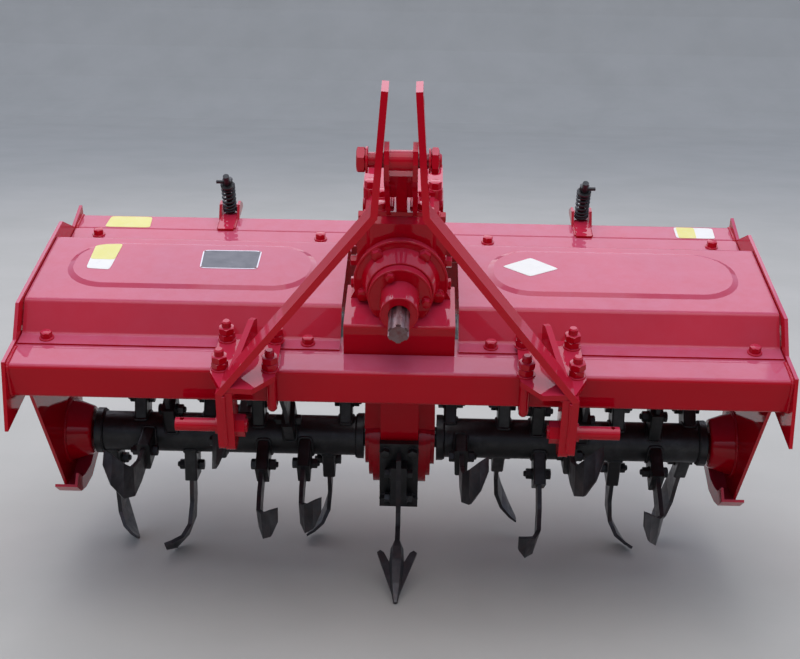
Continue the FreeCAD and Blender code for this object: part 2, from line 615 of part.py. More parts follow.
def share():
    """Arrow-shaped point: a lofted boss and two drooping wings."""
    rise, droop = math.radians(SHARE_RISE), math.radians(14)
    tip = V(0, SHARE_TIP_Y, TIP_Z)
    back, up = V(0, math.cos(rise), math.sin(rise)), V(0, -math.sin(rise), math.cos(rise))
    rings = []
    for row in BOSS:
        outline = [(-1, 0), (-0.6, row.above), (0.6, row.above),
                   (1, 0), (0.6, -row.below), (-0.6, -row.below)]
        ring = [tip + back * row.back + V(k * row.half, 0, 0) + up * (h + 3) for k, h in outline]
        rings.append(Part.makePolygon(ring + ring[:1]))
    solid = Part.makeLoft(rings, True, True)
    for side in (-1, 1):
        across = V(side, 0, 0) - up * math.tan(droop)
        corners = [tip + back * u + across * v for u, v in WING]
        wing = Part.Face(Part.makePolygon(corners + corners[:1])).extrude(up * 6)
        solid = solid.fuse(wing)
    return solid.removeSplitter()


piece("share_point", share().cut(SHANK))

# Levelling board, hung behind the rear beam
HINGE_Y, HINGE_Z = REAR_Y1 + 12, BEAM_Z0 + 4
BOARD_HALF = INNER_X - 11
HANG = dim("board_hang_deg")
LUG_OFF, LUG_DOWN = 23, 110
BARREL_LENGTH, KNUCKLE_LENGTH = 90, 18
BARRELS = (-BOARD_HALF + 28, -BARREL_LENGTH / 2, BOARD_HALF - 28 - BARREL_LENGTH)
BOARD_SIDE = [(-2, -14), (-2, -190), (2, -230), (10, -262), (24, -300)]


def board():
    """Sheet with a bent toe and three pressed ribs, drawn hanging from its hinge, then swung to its stop."""
    scale = dim("board_length") / -BOARD_SIDE[-1][1]
    front = [(y, z * scale) for y, z in BOARD_SIDE]
    skin = prism("yz", front + offset_line(front, 4)[::-1], -BOARD_HALF, BOARD_HALF)
    rib_middles = (-BOARD_HALF / 2, BOARD_HALF / 2)
    ribs = [rounded_box(x - 130, x + 130, 1, 8, -196, -150, 6, "y") for x in rib_middles]
    barrels = [fuse(cyl("x", 9, x, x + BARREL_LENGTH), box(x, x + BARREL_LENGTH, -2, 2, -16, -4))
               for x in BARRELS]
    lugs = [prism("yz", [(0, -84), (30, -96), (36, -110), (30, -124), (0, -136)], side * dim("rod_x") + off,
                  side * dim("rod_x") + off + 6) for side in (-1, 1) for off in (-16, 10)]
    solid = fuse(skin, *ribs, *barrels, *lugs)
    for side in (-1, 1):
        lug_x = side * dim("rod_x")
        solid = solid.cut(cyl("x", 6.5, lug_x - 20, lug_x + 20, (LUG_OFF, -LUG_DOWN)))
    solid = solid.cut(cyl("x", 5.5, -BOARD_HALF - 1, BOARD_HALF + 1))
    solid.rotate(V(0, 0, 0), V(1, 0, 0), HANG)
    solid.translate(V(0, HINGE_Y, HINGE_Z))
    return solid


def knuckle(x):
    """Welded loop on the rear beam beside a barrel."""
    loop = fuse(cyl("x", 9, x, x + KNUCKLE_LENGTH, (HINGE_Y, HINGE_Z)),
                box(x, x + KNUCKLE_LENGTH, REAR_Y1, HINGE_Y, HINGE_Z - 2, HINGE_Z + 9))
    return loop.cut(cyl("x", 5, x - 1, x + KNUCKLE_LENGTH + 1, (HINGE_Y, HINGE_Z)))


piece("levelling_board", board())
piece("board_hinge_pin", cyl("x", 5, -BOARD_HALF, BOARD_HALF, (HINGE_Y, HINGE_Z)))
beside = [x + step for x in BARRELS for step in (-KNUCKLE_LENGTH - 5, BARREL_LENGTH + 5)]
piece("board_hinge_knuckles", Part.makeCompound([knuckle(x) for x in beside]))

# Spring rods: eye on the board's lug, up through a slotted shelf behind the rear beam
EYE_Y = HINGE_Y + LUG_OFF * math.cos(math.radians(HANG)) + LUG_DOWN * math.sin(math.radians(HANG))
EYE_Z = HINGE_Z + LUG_OFF * math.sin(math.radians(HANG)) - LUG_DOWN * math.cos(math.radians(HANG))
SHELF_Y, SHELF_Z = REAR_Y1 + 20, BEAM_Z1
ROD_LEAN = math.degrees(math.atan2(EYE_Y - SHELF_Y, SHELF_Z - EYE_Z))
ROD_BELOW = math.hypot(EYE_Y - SHELF_Y, SHELF_Z - EYE_Z)
ROD_ABOVE = 104
SHELF_EAR = [(-32, 0), (28, 0), (28, 8), (4, 24), (-14, 24)]


def on_rod(shape, x):
    """From a frame with the rod straight up from its eye at the origin to its place on the tiller."""
    out = turned(shape, ROD_LEAN)
    out.translate(V(x, EYE_Y, EYE_Z))
    return out


def rod(side):
    """Rod with its eye below and a cross pin above that holds the spring down."""
    top = ROD_BELOW + ROD_ABOVE
    eye = cyl("x", 14, -7, 7).cut(cyl("x", 6.5, -8, 8))
    stop = cyl("z", 13, top - 27, top - 23)
    cross_pin = cyl("x", 3.5, *sorted((-side * 8, side * 20)), at=(0, top - 16))
    return fuse(cyl("z", 6, 10, top), eye, stop, cross_pin)


def rod_shelf(x):
    """Slotted shelf with two ears, its tongue welded on the rear beam."""
    ear = [(SHELF_Y + y, SHELF_Z + z) for y, z in SHELF_EAR]
    parts = [box(x - 15, x + 15, REAR_Y0 - 2, SHELF_Y + 28, SHELF_Z, SHELF_Z + 6),
             prism("yz", ear, x - 20, x - 15), prism("yz", ear, x + 15, x + 20)]
    return fuse(*parts).cut(box(x - 9, x + 9, SHELF_Y - 16, SHELF_Y + 16, SHELF_Z - 1, SHELF_Z + 7))


for label, side in SIDES:
    x = side * dim("rod_x")
    sleeve = cyl("z", 13, ROD_BELOW + 14, ROD_BELOW + ROD_ABOVE - 27)
    piece(f"rod_{label}", on_rod(rod(side), x))
    piece(f"spring_{label}", on_rod(sleeve.cut(cyl("z", 6.4, ROD_BELOW, ROD_BELOW + ROD_ABOVE)), x))
    piece(f"rod_eye_pin_{label}", cyl("x", 6, x - 18, x + 18, (EYE_Y, EYE_Z)))
    piece(f"rod_bracket_{label}", rod_shelf(x))

# Parked placement for all pieces, checks and export

def parked_placement():
    """Nose down, lowest point on the floor, origin under the middle of the whole machine."""
    whole = Part.makeCompound(list(PIECES.values()))
    whole.Placement = FreeCAD.Placement(V(0, 0, 0), PARK_TILT)
    extent = whole.optimalBoundingBox(False)
    print("extent", extent, "y middle", (extent.YMin + extent.YMax) / 2)
    return FreeCAD.Placement(V(0, -(extent.YMin + extent.YMax) / 2, -extent.ZMin), PARK_TILT)


PARKED = parked_placement()
print("parked", PARKED)
os.makedirs("parts", exist_ok=True)
objects = []
for name, shape in PIECES.items():
    obj = doc.addObject("Part::Feature", name)
    obj.Label = name
    obj.Shape = shape
    obj.Placement = PARKED.multiply(shape.Placement)
    objects.append(obj)
doc.recompute()
for obj in objects:
    states = [str(s) for s in obj.State]
    if any("Invalid" in s or "Error" in s for s in states):
        raise RuntimeError(f"{obj.Label}: {states}")
    if obj.Shape.isNull() or not obj.Shape.isValid():
        raise RuntimeError(f"{obj.Label}: bad shape")
    obj.Shape.exportStep(f"parts/{obj.Label}.step")
    print(f"{obj.Label}: {len(obj.Shape.Solids)} solid(s), {obj.Shape.Volume / 1000:.0f} cm3")
POINTS = {
    "rotor axis": V(0, 0, 0),
    "input shaft": V(0, SHAFT_END, SHAFT_Z),
    "board hinge": V(0, HINGE_Y, HINGE_Z),
    "rod eye": V(0, EYE_Y, EYE_Z),
    "pin": V(-PIN_END, dim("pin_y"), dim("pin_z")),
    "top": V(0, bar_y(TOP_BORE_Z), TOP_BORE_Z),
    "cross": V(0, CROSS_Y, CROSS_Z),
}
for label, point in POINTS.items():
    print(label, PARKED.multVec(point))
print("top bore", bar_y(TOP_BORE_Z), TOP_BORE_Z)
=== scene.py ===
"""Looks of the rotary tiller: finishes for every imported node, small fittings, floor, light and camera.

Fittings are worked out in the machine's own level frame (metres, rotor axis as origin, front = -Y,
up = +Z) and turned into the parked pose in one step.
"""

import json
import logging
import math
from dataclasses import dataclass, field, replace
from enum import Enum
from typing import Callable, Iterable, Sequence

import bmesh
import bpy
import numpy as np
from mathutils import Matrix, Vector

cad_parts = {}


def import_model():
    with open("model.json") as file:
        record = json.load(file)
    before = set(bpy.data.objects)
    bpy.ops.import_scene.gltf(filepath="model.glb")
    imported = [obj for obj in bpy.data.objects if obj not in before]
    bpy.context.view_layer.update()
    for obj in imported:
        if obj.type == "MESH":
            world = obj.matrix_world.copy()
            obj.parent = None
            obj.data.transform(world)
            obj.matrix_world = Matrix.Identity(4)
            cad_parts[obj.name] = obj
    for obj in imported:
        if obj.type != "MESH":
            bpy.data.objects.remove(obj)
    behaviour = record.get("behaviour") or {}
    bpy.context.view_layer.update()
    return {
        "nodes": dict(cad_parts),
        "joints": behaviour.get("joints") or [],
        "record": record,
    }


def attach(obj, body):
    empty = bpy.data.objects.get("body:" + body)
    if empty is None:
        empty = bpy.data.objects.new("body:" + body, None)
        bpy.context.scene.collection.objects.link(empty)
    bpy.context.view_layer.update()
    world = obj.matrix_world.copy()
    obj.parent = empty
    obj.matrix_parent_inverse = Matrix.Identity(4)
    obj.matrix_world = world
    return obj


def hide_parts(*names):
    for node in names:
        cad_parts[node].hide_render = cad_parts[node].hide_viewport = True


LOG = logging.getLogger("tiller")
TURN = 2.0 * math.pi

# Directions of the machine: to its right in the photograph, to its back, up
ACROSS = (1.0, 0.0, 0.0)
BACK = (0.0, 1.0, 0.0)
UP = (0.0, 0.0, 1.0)

# Starts of the names of the broad sheets, which carry more dust and painted sky sheen on their tops than the
# castings
SHEETS = ("cover_", "front_beam", "rear_beam", "side_plate", "levelling_board")

# Share of a unit direction along one axis from which that axis is no help in finding a square one
UPRIGHT = 0.9

# Exponent of the rounded square over a tube's section
TUBE_CORNER = 7

# Metres within which points are merged, and below which an edge is dropped
MERGE = 2e-6
SLIVER = 1e-7

# Degrees between faces up to which a round strip is shaded smooth
ROUND_ANGLE = 60.0

Mesh = tuple[np.ndarray, np.ndarray]
Outline = Sequence[tuple[float, float]]
RGB = tuple[float, float, float]
Socket = bpy.types.NodeSocket


class Slot(str, Enum):
    """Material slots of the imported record."""

    RED = "red_paint"
    BLACK = "black_paint"
    BLADE = "blade_steel"
    BARE = "bare_steel"


class Side(Enum):
    """Left and right as seen in the photograph, with the sign of X."""

    LEFT = -1
    RIGHT = 1

    @property
    def label(self) -> str:
        """Lower-case name used in node and piece names."""
        return self.name.lower()


# Mesh arithmetic


def grid_faces(rows: int, columns: int, wrap: bool) -> np.ndarray:
    """Quads of a grid of rows by columns points, counter-clockwise from outside.

    Args:
        rows: points along the profile.
        columns: points around or along the path.
        wrap: whether the last column meets the first.

    Returns:
        Array of four indices a face.
    """
    span = columns if wrap else columns - 1
    i, j = np.meshgrid(np.arange(rows - 1), np.arange(span), indexing="ij")
    here, beside = i * columns + j, i * columns + (j + 1) % columns
    return np.stack([here, beside, beside + columns, here + columns], axis=-1).reshape(-1, 4)


def joined(meshes: Iterable[Mesh]) -> Mesh:
    """All meshes as one, indices shifted past the points before them.

    Args:
        meshes: point and face arrays.

    Returns:
        One point array and one face array.
    """
    points, faces, shift = [], [], 0
    for verts, quads in meshes:
        points.append(verts)
        faces.append(quads + shift)
        shift += len(verts)
    return np.concatenate(points), np.concatenate(faces)


def basis(axis: Sequence[float]) -> np.ndarray:
    """Rotation whose third column is the given direction.

    Args:
        axis: direction in the machine frame.

    Returns:
        Three by three matrix.
    """
    w = np.asarray(axis, float)
    w = w / np.linalg.norm(w)
    helper = np.array(UP if abs(w[2]) < UPRIGHT else BACK)
    u = np.cross(helper, w)
    u /= np.linalg.norm(u)
    return np.stack([u, np.cross(w, u), w], axis=1)


def turned_profile(
    profile: Sequence[tuple[float, float]],
    centre: Sequence[float],
    axis: Sequence[float],
    around: int,
) -> Mesh:
    """Surface of revolution: point = centre + r(s) (cos a, sin a) + h(s) axis.

    Args:
        profile: radius and height pairs from the underside to the top, poles at radius zero.
        centre: point on the axis where height is zero.
        axis: direction of growing height.
        around: points around the axis.

    Returns:
        Points and quads.
    """
    r, h = np.array(profile, float).T
    a = np.linspace(0.0, TURN, around, endpoint=False)
    ring = np.stack([np.cos(a), np.sin(a), np.zeros_like(a)], axis=-1)
    local = r[:, None, None] * ring[None] + h[:, None, None] * np.array(UP)
    points = local.reshape(-1, 3) @ basis(axis).T + np.asarray(centre, float)
    return points, grid_faces(len(r), around, True)


def hexagon(a: np.ndarray) -> np.ndarray:
    """Radius of a hexagon with flats at distance one: one over the cosine to the nearest flat's middle."""
    part = np.mod(a, TURN / 6.0) - TURN / 12.0
    return 1.0 / np.cos(part)


def rounded_square(a: np.ndarray, power: float) -> tuple[np.ndarray, np.ndarray]:
    """Rounded square |u|^n + |v|^n = 1 against the angle.

    Args:
        a: angles.
        power: exponent n, sharper corners with a larger one.

    Returns:
        Both coordinates u and v.
    """
    c, s = np.cos(a), np.sin(a)
    reach = (np.abs(c) ** power + np.abs(s) ** power) ** (-1.0 / power)
    return reach * c, reach * s


def bilinear(corners: np.ndarray, u: np.ndarray, v: np.ndarray) -> np.ndarray:
    """Points at shares u and v of a four-cornered patch: each corner weighted by its nearness.

    Args:
        corners: four points in order round the patch.
        u: shares from the first corner to the second.
        v: shares from the first corner to the fourth.

    Returns:
        One point for each pair of shares.
    """
    p = np.asarray(corners, float)
    return (1 - u) * (1 - v) * p[0] + u * (1 - v) * p[1] + u * v * p[2] + (1 - u) * v * p[3]


def swept_round(
    path: np.ndarray,
    radius: float | np.ndarray,
    around: int = 10,
    helper: Sequence[float] | None = None,
) -> Mesh:
    """Round bar along a path: a circle set square to the path at each point, closed at both ends.

    Args:
        path: points of the middle line.
        radius: one radius, or one a point.
        around: points around the bar.
        helper: direction that the path never runs along.

    Returns:
        Points and quads.
    """
    ahead = np.gradient(path, axis=0)
    ahead /= np.linalg.norm(ahead, axis=1, keepdims=True)
    if helper is None:
        helper = UP if abs(ahead[0, 2]) < UPRIGHT else ACROSS
    side = np.cross(ahead, np.asarray(helper, float))
    side /= np.linalg.norm(side, axis=1, keepdims=True)
    other = np.cross(ahead, side)
    a = np.linspace(0.0, TURN, around, endpoint=False)
    ring = np.cos(a)[None, :, None] * side[:, None] - np.sin(a)[None, :, None] * other[:, None]
    radii = np.broadcast_to(np.asarray(radius, float), (len(path),))
    body = path[:, None] + radii[:, None, None] * ring
    ends = [np.repeat(path[[k]], around, axis=0)[None] for k in (0, -1)]
    points = np.concatenate([ends[0], body, ends[1]]).reshape(-1, 3)
    return points, grid_faces(len(path) + 2, around, True)


@dataclass
class Parking:
    """How the level machine frame stands in the world: nose down by tilt, rotor axis at y, z."""

    tilt: float
    y: float
    z: float

    @classmethod
    def from_joints(cls, joints: Sequence[dict]) -> "Parking":
        """Read the parked pose from the rotor and input shaft joints.

        Args:
            joints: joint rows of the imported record.

        Returns:
            The parked pose.
        """
        rows = {j["name"]: j for j in joints}
        _, ay, az = rows["input_spin"]["axis"]
        _, y, z = rows["rotor_spin"]["pos_m"]
        return cls(math.atan2(-az, -ay), y, z)

    def world(self, points: np.ndarray) -> np.ndarray:
        """Machine points turned about X by the tilt and moved to the rotor axis."""
        c, s = math.cos(self.tilt), math.sin(self.tilt)
        x, y, z = np.asarray(points, float).T
        return np.stack([x, y * c - z * s + self.y, y * s + z * c + self.z], axis=-1)


# Finishes


def map_range(tree: bpy.types.NodeTree, source: Socket, levels: Sequence[float]) -> Socket:
    """Clamped linear map of a value.

    Args:
        tree: node tree to add to.
        source: value in.
        levels: value that gives the start, value that gives the end, start and end.

    Returns:
        The result socket.
    """
    node = tree.nodes.new("ShaderNodeMapRange")
    for name, value in zip(("From Min", "From Max", "To Min", "To Max"), levels):
        node.inputs[name].default_value = value
    tree.links.new(source, node.inputs["Value"])
    return node.outputs["Result"]


@dataclass(frozen=True)
class Pattern:
    """Fractal noise cut between two levels: cells a metre, octaves, weight of fine ones, levels, results."""

    cells: float
    octaves: float = 4.0
    fine: float = 0.55
    low: float = 0.3
    high: float = 0.8
    start: float = 0.0
    end: float = 1.0


@dataclass(frozen=True)
class Relief:
    """Fractal noise used as bump: cells a metre, octaves, weight of fine ones, strength, depth in metres."""

    cells: float
    octaves: float
    fine: float
    strength: float
    depth: float
    stretch: RGB = (1.0, 1.0, 1.0)


class Nodes:
    """Short hand for building one node material."""

    def __init__(self, name: str) -> None:
        """Start an empty principled material of the given name."""
        self.material = bpy.data.materials.new(name)
        self.material.use_nodes = True
        self.tree = self.material.node_tree
        self.shader = self.tree.nodes["Principled BSDF"]
        self.where = self.add("ShaderNodeTexCoord")
        self.normal = self.add("ShaderNodeNewGeometry")

    def add(self, kind: str, **values: object) -> bpy.types.Node:
        """New node with its properties set."""
        node = self.tree.nodes.new(kind)
        for key, value in values.items():
            setattr(node, key, value)
        return node

    def link(self, source: Socket, target: Socket) -> None:
        """Join two sockets."""
        self.tree.links.new(source, target)

    def noise(self, scale: float, detail: float, rough: float, stretch: RGB = (1.0, 1.0, 1.0)) -> Socket:
        """Fractal noise over Object coordinates.

        Args:
            scale: cells a metre.
            detail: octaves.
            rough: weight of fine octaves.
            stretch: scale of each axis before the noise.

        Returns:
            The factor socket.
        """
        mapping = self.add("ShaderNodeMapping")
        mapping.inputs["Scale"].default_value = tuple(stretch)
        self.link(self.where.outputs["Object"], mapping.inputs["Vector"])
        node = self.add("ShaderNodeTexNoise")
        node.inputs["Scale"].default_value = scale
        node.inputs["Detail"].default_value = detail
        node.inputs["Roughness"].default_value = rough
        self.link(mapping.outputs["Vector"], node.inputs["Vector"])
        return node.outputs["Fac"]

    def pattern(self, pattern: Pattern) -> Socket:
        """The result socket of a cut noise pattern."""
        source = self.noise(pattern.cells, pattern.octaves, pattern.fine)
        return map_range(self.tree, source, (pattern.low, pattern.high, pattern.start, pattern.end))

    def mixed(self, factor: Socket, first: Socket | RGB, second: Socket | RGB) -> Socket:
        """Colour blend of two colours or sockets.

        Args:
            factor: share of the second.
            first: colour or socket at zero.
            second: colour or socket at one.

        Returns:
            The colour socket.
        """
        node = self.add("ShaderNodeMix", data_type="RGBA")
        self.link(factor, node.inputs["Factor"])
        # The colour sockets A and B, whose names the sockets for numbers have too
        for socket, value in ((node.inputs[6], first), (node.inputs[7], second)):
            if isinstance(value, Socket):
                self.link(value, socket)
            else:
                socket.default_value = (*value, 1.0)
        return node.outputs[2]

    def times(self, first: Socket, second: Socket | float) -> Socket:
        """Product of two values.

        Args:
            first: one factor.
            second: the other, a socket or a number.

        Returns:
            The product socket.
        """
        node = self.add("ShaderNodeMath", operation="MULTIPLY")
        self.link(first, node.inputs[0])
        if isinstance(second, Socket):
            self.link(second, node.inputs[1])
        else:
            node.inputs[1].default_value = second
        return node.outputs[0]

    def facing_up(self, low: float = 0.2, high: float = 0.95) -> Socket:
        """How far the surface faces the sky: zero where its normal rises by low, one where by high."""
        split = self.add("ShaderNodeSeparateXYZ")
        self.link(self.normal.outputs["Normal"], split.inputs[0])
        return map_range(self.tree, split.outputs["Z"], (low, high, 0.0, 1.0))

    def bump(self, relief: Relief) -> None:
        """Bump on the shader's normal.

        Args:
            relief: the noise, its strength and its depth.
        """
        node = self.add("ShaderNodeBump")
        node.inputs["Strength"].default_value = relief.strength
        node.inputs["Distance"].default_value = relief.depth
        height = self.noise(relief.cells, relief.octaves, relief.fine, relief.stretch)
        self.link(height, node.inputs["Height"])
        self.link(node.outputs["Normal"], self.shader.inputs["Normal"])

    def set(self, **values: float) -> None:
        """Constants on the shader, keys with underscores for spaces."""
        for key, value in values.items():
            self.shader.inputs[key.replace("_", " ")].default_value = value

    def colour(self, source: Socket) -> None:
        """Drive the base colour."""
        self.link(source, self.shader.inputs["Base Color"])

    def roughness(self, pattern: Pattern) -> None:
        """Drive the roughness by a pattern."""
        self.link(self.pattern(pattern), self.shader.inputs["Roughness"])


@dataclass(frozen=True)
class GlossPaint:
    """Sprayed gloss enamel: wet clear coat, orange peel, and where it faces the sky a breath of dust with a
    painted sheen of sky reflection.
    """

    name: str
    colour: RGB
    deep: RGB
    # Colour on up-facing faces: part dust, part painted reflection of the sky
    dust: RGB = (0.42, 0.25, 0.50)
    dust_share: float = 0.10
    coat_ior: float = 1.34
    speck_share: float = 0.05
    tone: Pattern = Pattern(5.0, 2.0, high=0.75)
    film: Pattern = Pattern(30.0, 7.0, 0.62, start=0.7)
    specks: Pattern = Pattern(420.0, 3.0, 0.7, 0.68, 0.76)
    haze: Pattern = Pattern(38.0, 6.0, 0.6, start=0.16, end=0.304)
    peel: Relief = Relief(240.0, 2.0, 0.55, 0.08, 0.0005)
    slot: Slot = Slot.RED

    def build(self) -> bpy.types.Material:
        """Make the node material."""
        n = Nodes(self.name)
        tone = n.mixed(n.pattern(self.tone), self.colour, self.deep)
        # Up-facing faces take that colour in a mottled film, as dust and as painted sky reflection on the
        # tops; fine specks of it lie everywhere
        film = n.times(n.facing_up(), n.pattern(self.film))
        dust_and_sheen_tone = n.mixed(n.times(film, self.dust_share), tone, self.dust)
        n.colour(n.mixed(n.times(n.pattern(self.specks), self.speck_share), dust_and_sheen_tone, self.dust))
        n.roughness(self.haze)
        n.set(Coat_Weight=1.0, Coat_Roughness=0.05, Coat_IOR=self.coat_ior, Specular_IOR_Level=0.0)
        n.bump(self.peel)
        return n.material


@dataclass(frozen=True)
class RotorPaint:
    """Thin black paint over mill scale, scuffed and dusted, with rust starting in patches."""

    name: str
    colour: RGB = (0.007, 0.007, 0.007)
    scuffed: RGB = (0.026, 0.025, 0.027)
    rust: RGB = (0.05, 0.024, 0.016)
    scuffs: Pattern = Pattern(45.0, 8.0, 0.65, 0.5, 0.72)
    patches: Pattern = Pattern(17.0, 9.0, 0.7, 0.64, 0.78, end=0.65)
    haze: Pattern = Pattern(60.0, 6.0, 0.6, high=0.75, start=0.3, end=0.6)
    grain: Relief = Relief(190.0, 5.0, 0.6, 0.25, 0.0008)
    slot: Slot = Slot.BLACK

    def build(self) -> bpy.types.Material:
        """Make the node material."""
        n = Nodes(self.name)
        worn = n.mixed(n.pattern(self.scuffs), self.colour, self.scuffed)
        n.colour(n.mixed(n.pattern(self.patches), worn, self.rust))
        n.roughness(self.haze)
        n.bump(self.grain)
        return n.material


@dataclass(frozen=True)
class BladeSteel:
    """Quenched spring steel: blue-grey scale with brown rust bloom and fine pitting."""

    name: str
    scale: RGB = (0.036, 0.034, 0.036)
    bright: RGB = (0.072, 0.068, 0.070)
    rust: RGB = (0.085, 0.042, 0.034)
    rubbed: Pattern = Pattern(38.0, 7.0, 0.65, 0.42, 0.75)
    bloom: Pattern = Pattern(30.0, 10.0, 0.72, 0.50, 0.74, end=0.6)
    haze: Pattern = Pattern(55.0, 6.0, 0.65, start=0.34, end=0.62)
    pits: Relief = Relief(420.0, 5.0, 0.65, 0.3, 0.0006)
    slot: Slot = Slot.BLADE

    def build(self) -> bpy.types.Material:
        """Make the node material."""
        n = Nodes(self.name)
        base = n.mixed(n.pattern(self.rubbed), self.scale, self.bright)
        n.colour(n.mixed(n.pattern(self.bloom), base, self.rust))
        n.roughness(self.haze)
        n.set(Metallic=0.55)
        n.bump(self.pits)
        return n.material


@dataclass(frozen=True)
class CutSteel:
    """Machined steel with turning marks and a thin red stain of overspray."""

    name: str
    colour: RGB = (0.20, 0.13, 0.13)
    stain: RGB = (0.15, 0.035, 0.035)
    stains: Pattern = Pattern(70.0, 8.0, 0.7, 0.45, 0.72)
    haze: Pattern = Pattern(90.0, 5.0, 0.6, start=0.26, end=0.5)
    marks: Relief = Relief(900.0, 3.0, 0.5, 0.2, 0.0003, (0.05, 1.0, 1.0))
    slot: Slot = Slot.BARE

    def build(self) -> bpy.types.Material:
        """Make the node material."""
        n = Nodes(self.name)
        n.colour(n.mixed(n.pattern(self.stains), self.colour, self.stain))
        n.roughness(self.haze)
        n.set(Metallic=0.85)
        n.bump(self.marks)
        return n.material


@dataclass(frozen=True)
class BlankFilm:
    """Film or thin plate with nothing on it: slight mottling and scuffs."""

    name: str
    colour: RGB
    scuff: RGB
    rough: float = 0.4
    metal: float = 0.0
    scuffs: Pattern = Pattern(110.0, 7.0, 0.7, 0.56, 0.78, end=0.6)
    haze: Pattern = Pattern(60.0, start=0.8, end=1.3)
    dimples: Relief = Relief(300.0, 3.0, 0.55, 0.08, 0.0004)
    slot: Slot = Slot.BARE

    def build(self) -> bpy.types.Material:
        """Make the node material, the haze scaled by the film's own roughness."""
        n = Nodes(self.name)
        n.colour(n.mixed(n.pattern(self.scuffs), self.colour, self.scuff))
        n.roughness(replace(self.haze, start=self.rough * self.haze.start, end=self.rough * self.haze.end))
        n.set(Metallic=self.metal)
        n.bump(self.dimples)
        return n.material


Finish = GlossPaint | RotorPaint | BladeSteel | CutSteel | BlankFilm


@dataclass(frozen=True)
class YardFloor:
    """Plain pale floor with a faint mottle."""

    name: str = "yard_floor"
    colour: RGB = (0.44, 0.42, 0.365)
    darker: RGB = (0.405, 0.388, 0.335)
    mottle: Pattern = Pattern(2.2, 6.0, 0.6, 0.35, 0.7)
    rough: float = 0.8

    def build(self) -> bpy.types.Material:
        """Make the node material."""
        n = Nodes(self.name)
        n.colour(n.mixed(n.pattern(self.mottle), self.colour, self.darker))
        n.set(Roughness=self.rough)
        return n.material


@dataclass
class Finishes:
    """Every finish of the tiller, built once."""

    red: GlossPaint = GlossPaint("red_gloss", (0.47, 0.0008, 0.009), (0.41, 0.0006, 0.009))
    # Red for the broad sheets: a weaker clear coat, and more dust and painted sky reflection on up-facing
    # faces
    sheet: GlossPaint = replace(
        red, name="red_sheet", dust=(0.52, 0.38, 0.60), dust_share=0.235, coat_ior=1.30)
    black: RotorPaint = RotorPaint("rotor_black")
    blade: BladeSteel = BladeSteel("blade_steel")
    bare: CutSteel = CutSteel("spline_steel")
    yellow: BlankFilm = BlankFilm("yellow_film", (0.62, 0.56, 0.14), (0.62, 0.58, 0.36))
    white: BlankFilm = BlankFilm("white_film", (0.66, 0.64, 0.57), (0.52, 0.49, 0.45))
    rim: BlankFilm = BlankFilm("plate_rim", (0.55, 0.52, 0.54), (0.35, 0.32, 0.34), 0.35, 0.3)
    plate: BlankFilm = BlankFilm("blank_plate", (0.060, 0.062, 0.072), (0.12, 0.12, 0.135), 0.42, 0.1)
    made: dict[str, bpy.types.Material] = field(default_factory=dict)

    def get(self, finish: Finish) -> bpy.types.Material:
        """The node material of one finish, made on first use."""
        if finish.name not in self.made:
            self.made[finish.name] = finish.build()
        return self.made[finish.name]

    def of_node(self, node: str, slot: Slot) -> Finish:
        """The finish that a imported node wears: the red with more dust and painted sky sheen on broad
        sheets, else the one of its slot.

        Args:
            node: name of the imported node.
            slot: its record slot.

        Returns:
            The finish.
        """
        if node.startswith(SHEETS):
            return self.sheet
        return {own.slot: own for own in (self.red, self.black, self.blade, self.bare)}[slot]


@dataclass
class Workshop:
    """Turns machine-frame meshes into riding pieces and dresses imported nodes."""

    parking: Parking
    finishes: Finishes
    nodes: dict[str, bpy.types.Object]

    def piece(
        self, name: str, mesh: Mesh, finish: Finish, body: str = "frame", smooth: float = 35.0
    ) -> bpy.types.Object:
        """Make one piece from a machine-frame mesh.

        Args:
            name: piece name.
            mesh: points and quads in the machine frame.
            finish: the finish to wear, which names its record slot.
            body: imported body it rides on.
            smooth: angle in degrees under which edges are shaded smooth.

        Returns:
            The new object, at the origin.
        """
        points, quads = mesh
        data = bpy.data.meshes.new(name)
        data.from_pydata(self.parking.world(points).tolist(), [], quads.tolist())
        data.validate()
        obj = bpy.data.objects.new(name, data)
        bpy.context.scene.collection.objects.link(obj)
        self.tidy_mesh(data, smooth)
        data.materials.append(self.finishes.get(finish))
        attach(obj, body)
        LOG.info("%s: %d faces", name, len(data.polygons))
        return obj

    @staticmethod
    def tidy_mesh(data: bpy.types.Mesh, smooth: float) -> None:
        """Merge doubled points, point faces outwards and mark sharp edges by angle.

        Args:
            data: mesh to mend in place.
            smooth: angle in degrees under which edges are shaded smooth.
        """
        work = bmesh.new()
        work.from_mesh(data)
        bmesh.ops.remove_doubles(work, verts=work.verts, dist=MERGE)
        bmesh.ops.dissolve_degenerate(work, edges=work.edges, dist=SLIVER)
        bmesh.ops.recalc_face_normals(work, faces=work.faces)
        limit = math.radians(smooth)
        for face in work.faces:
            face.smooth = True
        for edge in work.edges:
            edge.smooth = len(edge.link_faces) == 2 and edge.calc_face_angle(0.0) < limit
        work.to_mesh(data)
        work.free()

    def dress(self, node: str, slot: Slot) -> None:
        """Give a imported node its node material."""
        data = self.nodes[node].data
        data.materials.clear()
        data.materials.append(self.finishes.get(self.finishes.of_node(node, slot)))


# Fittings

CONE_START = 0.95
CONE_SLOPE = 0.577


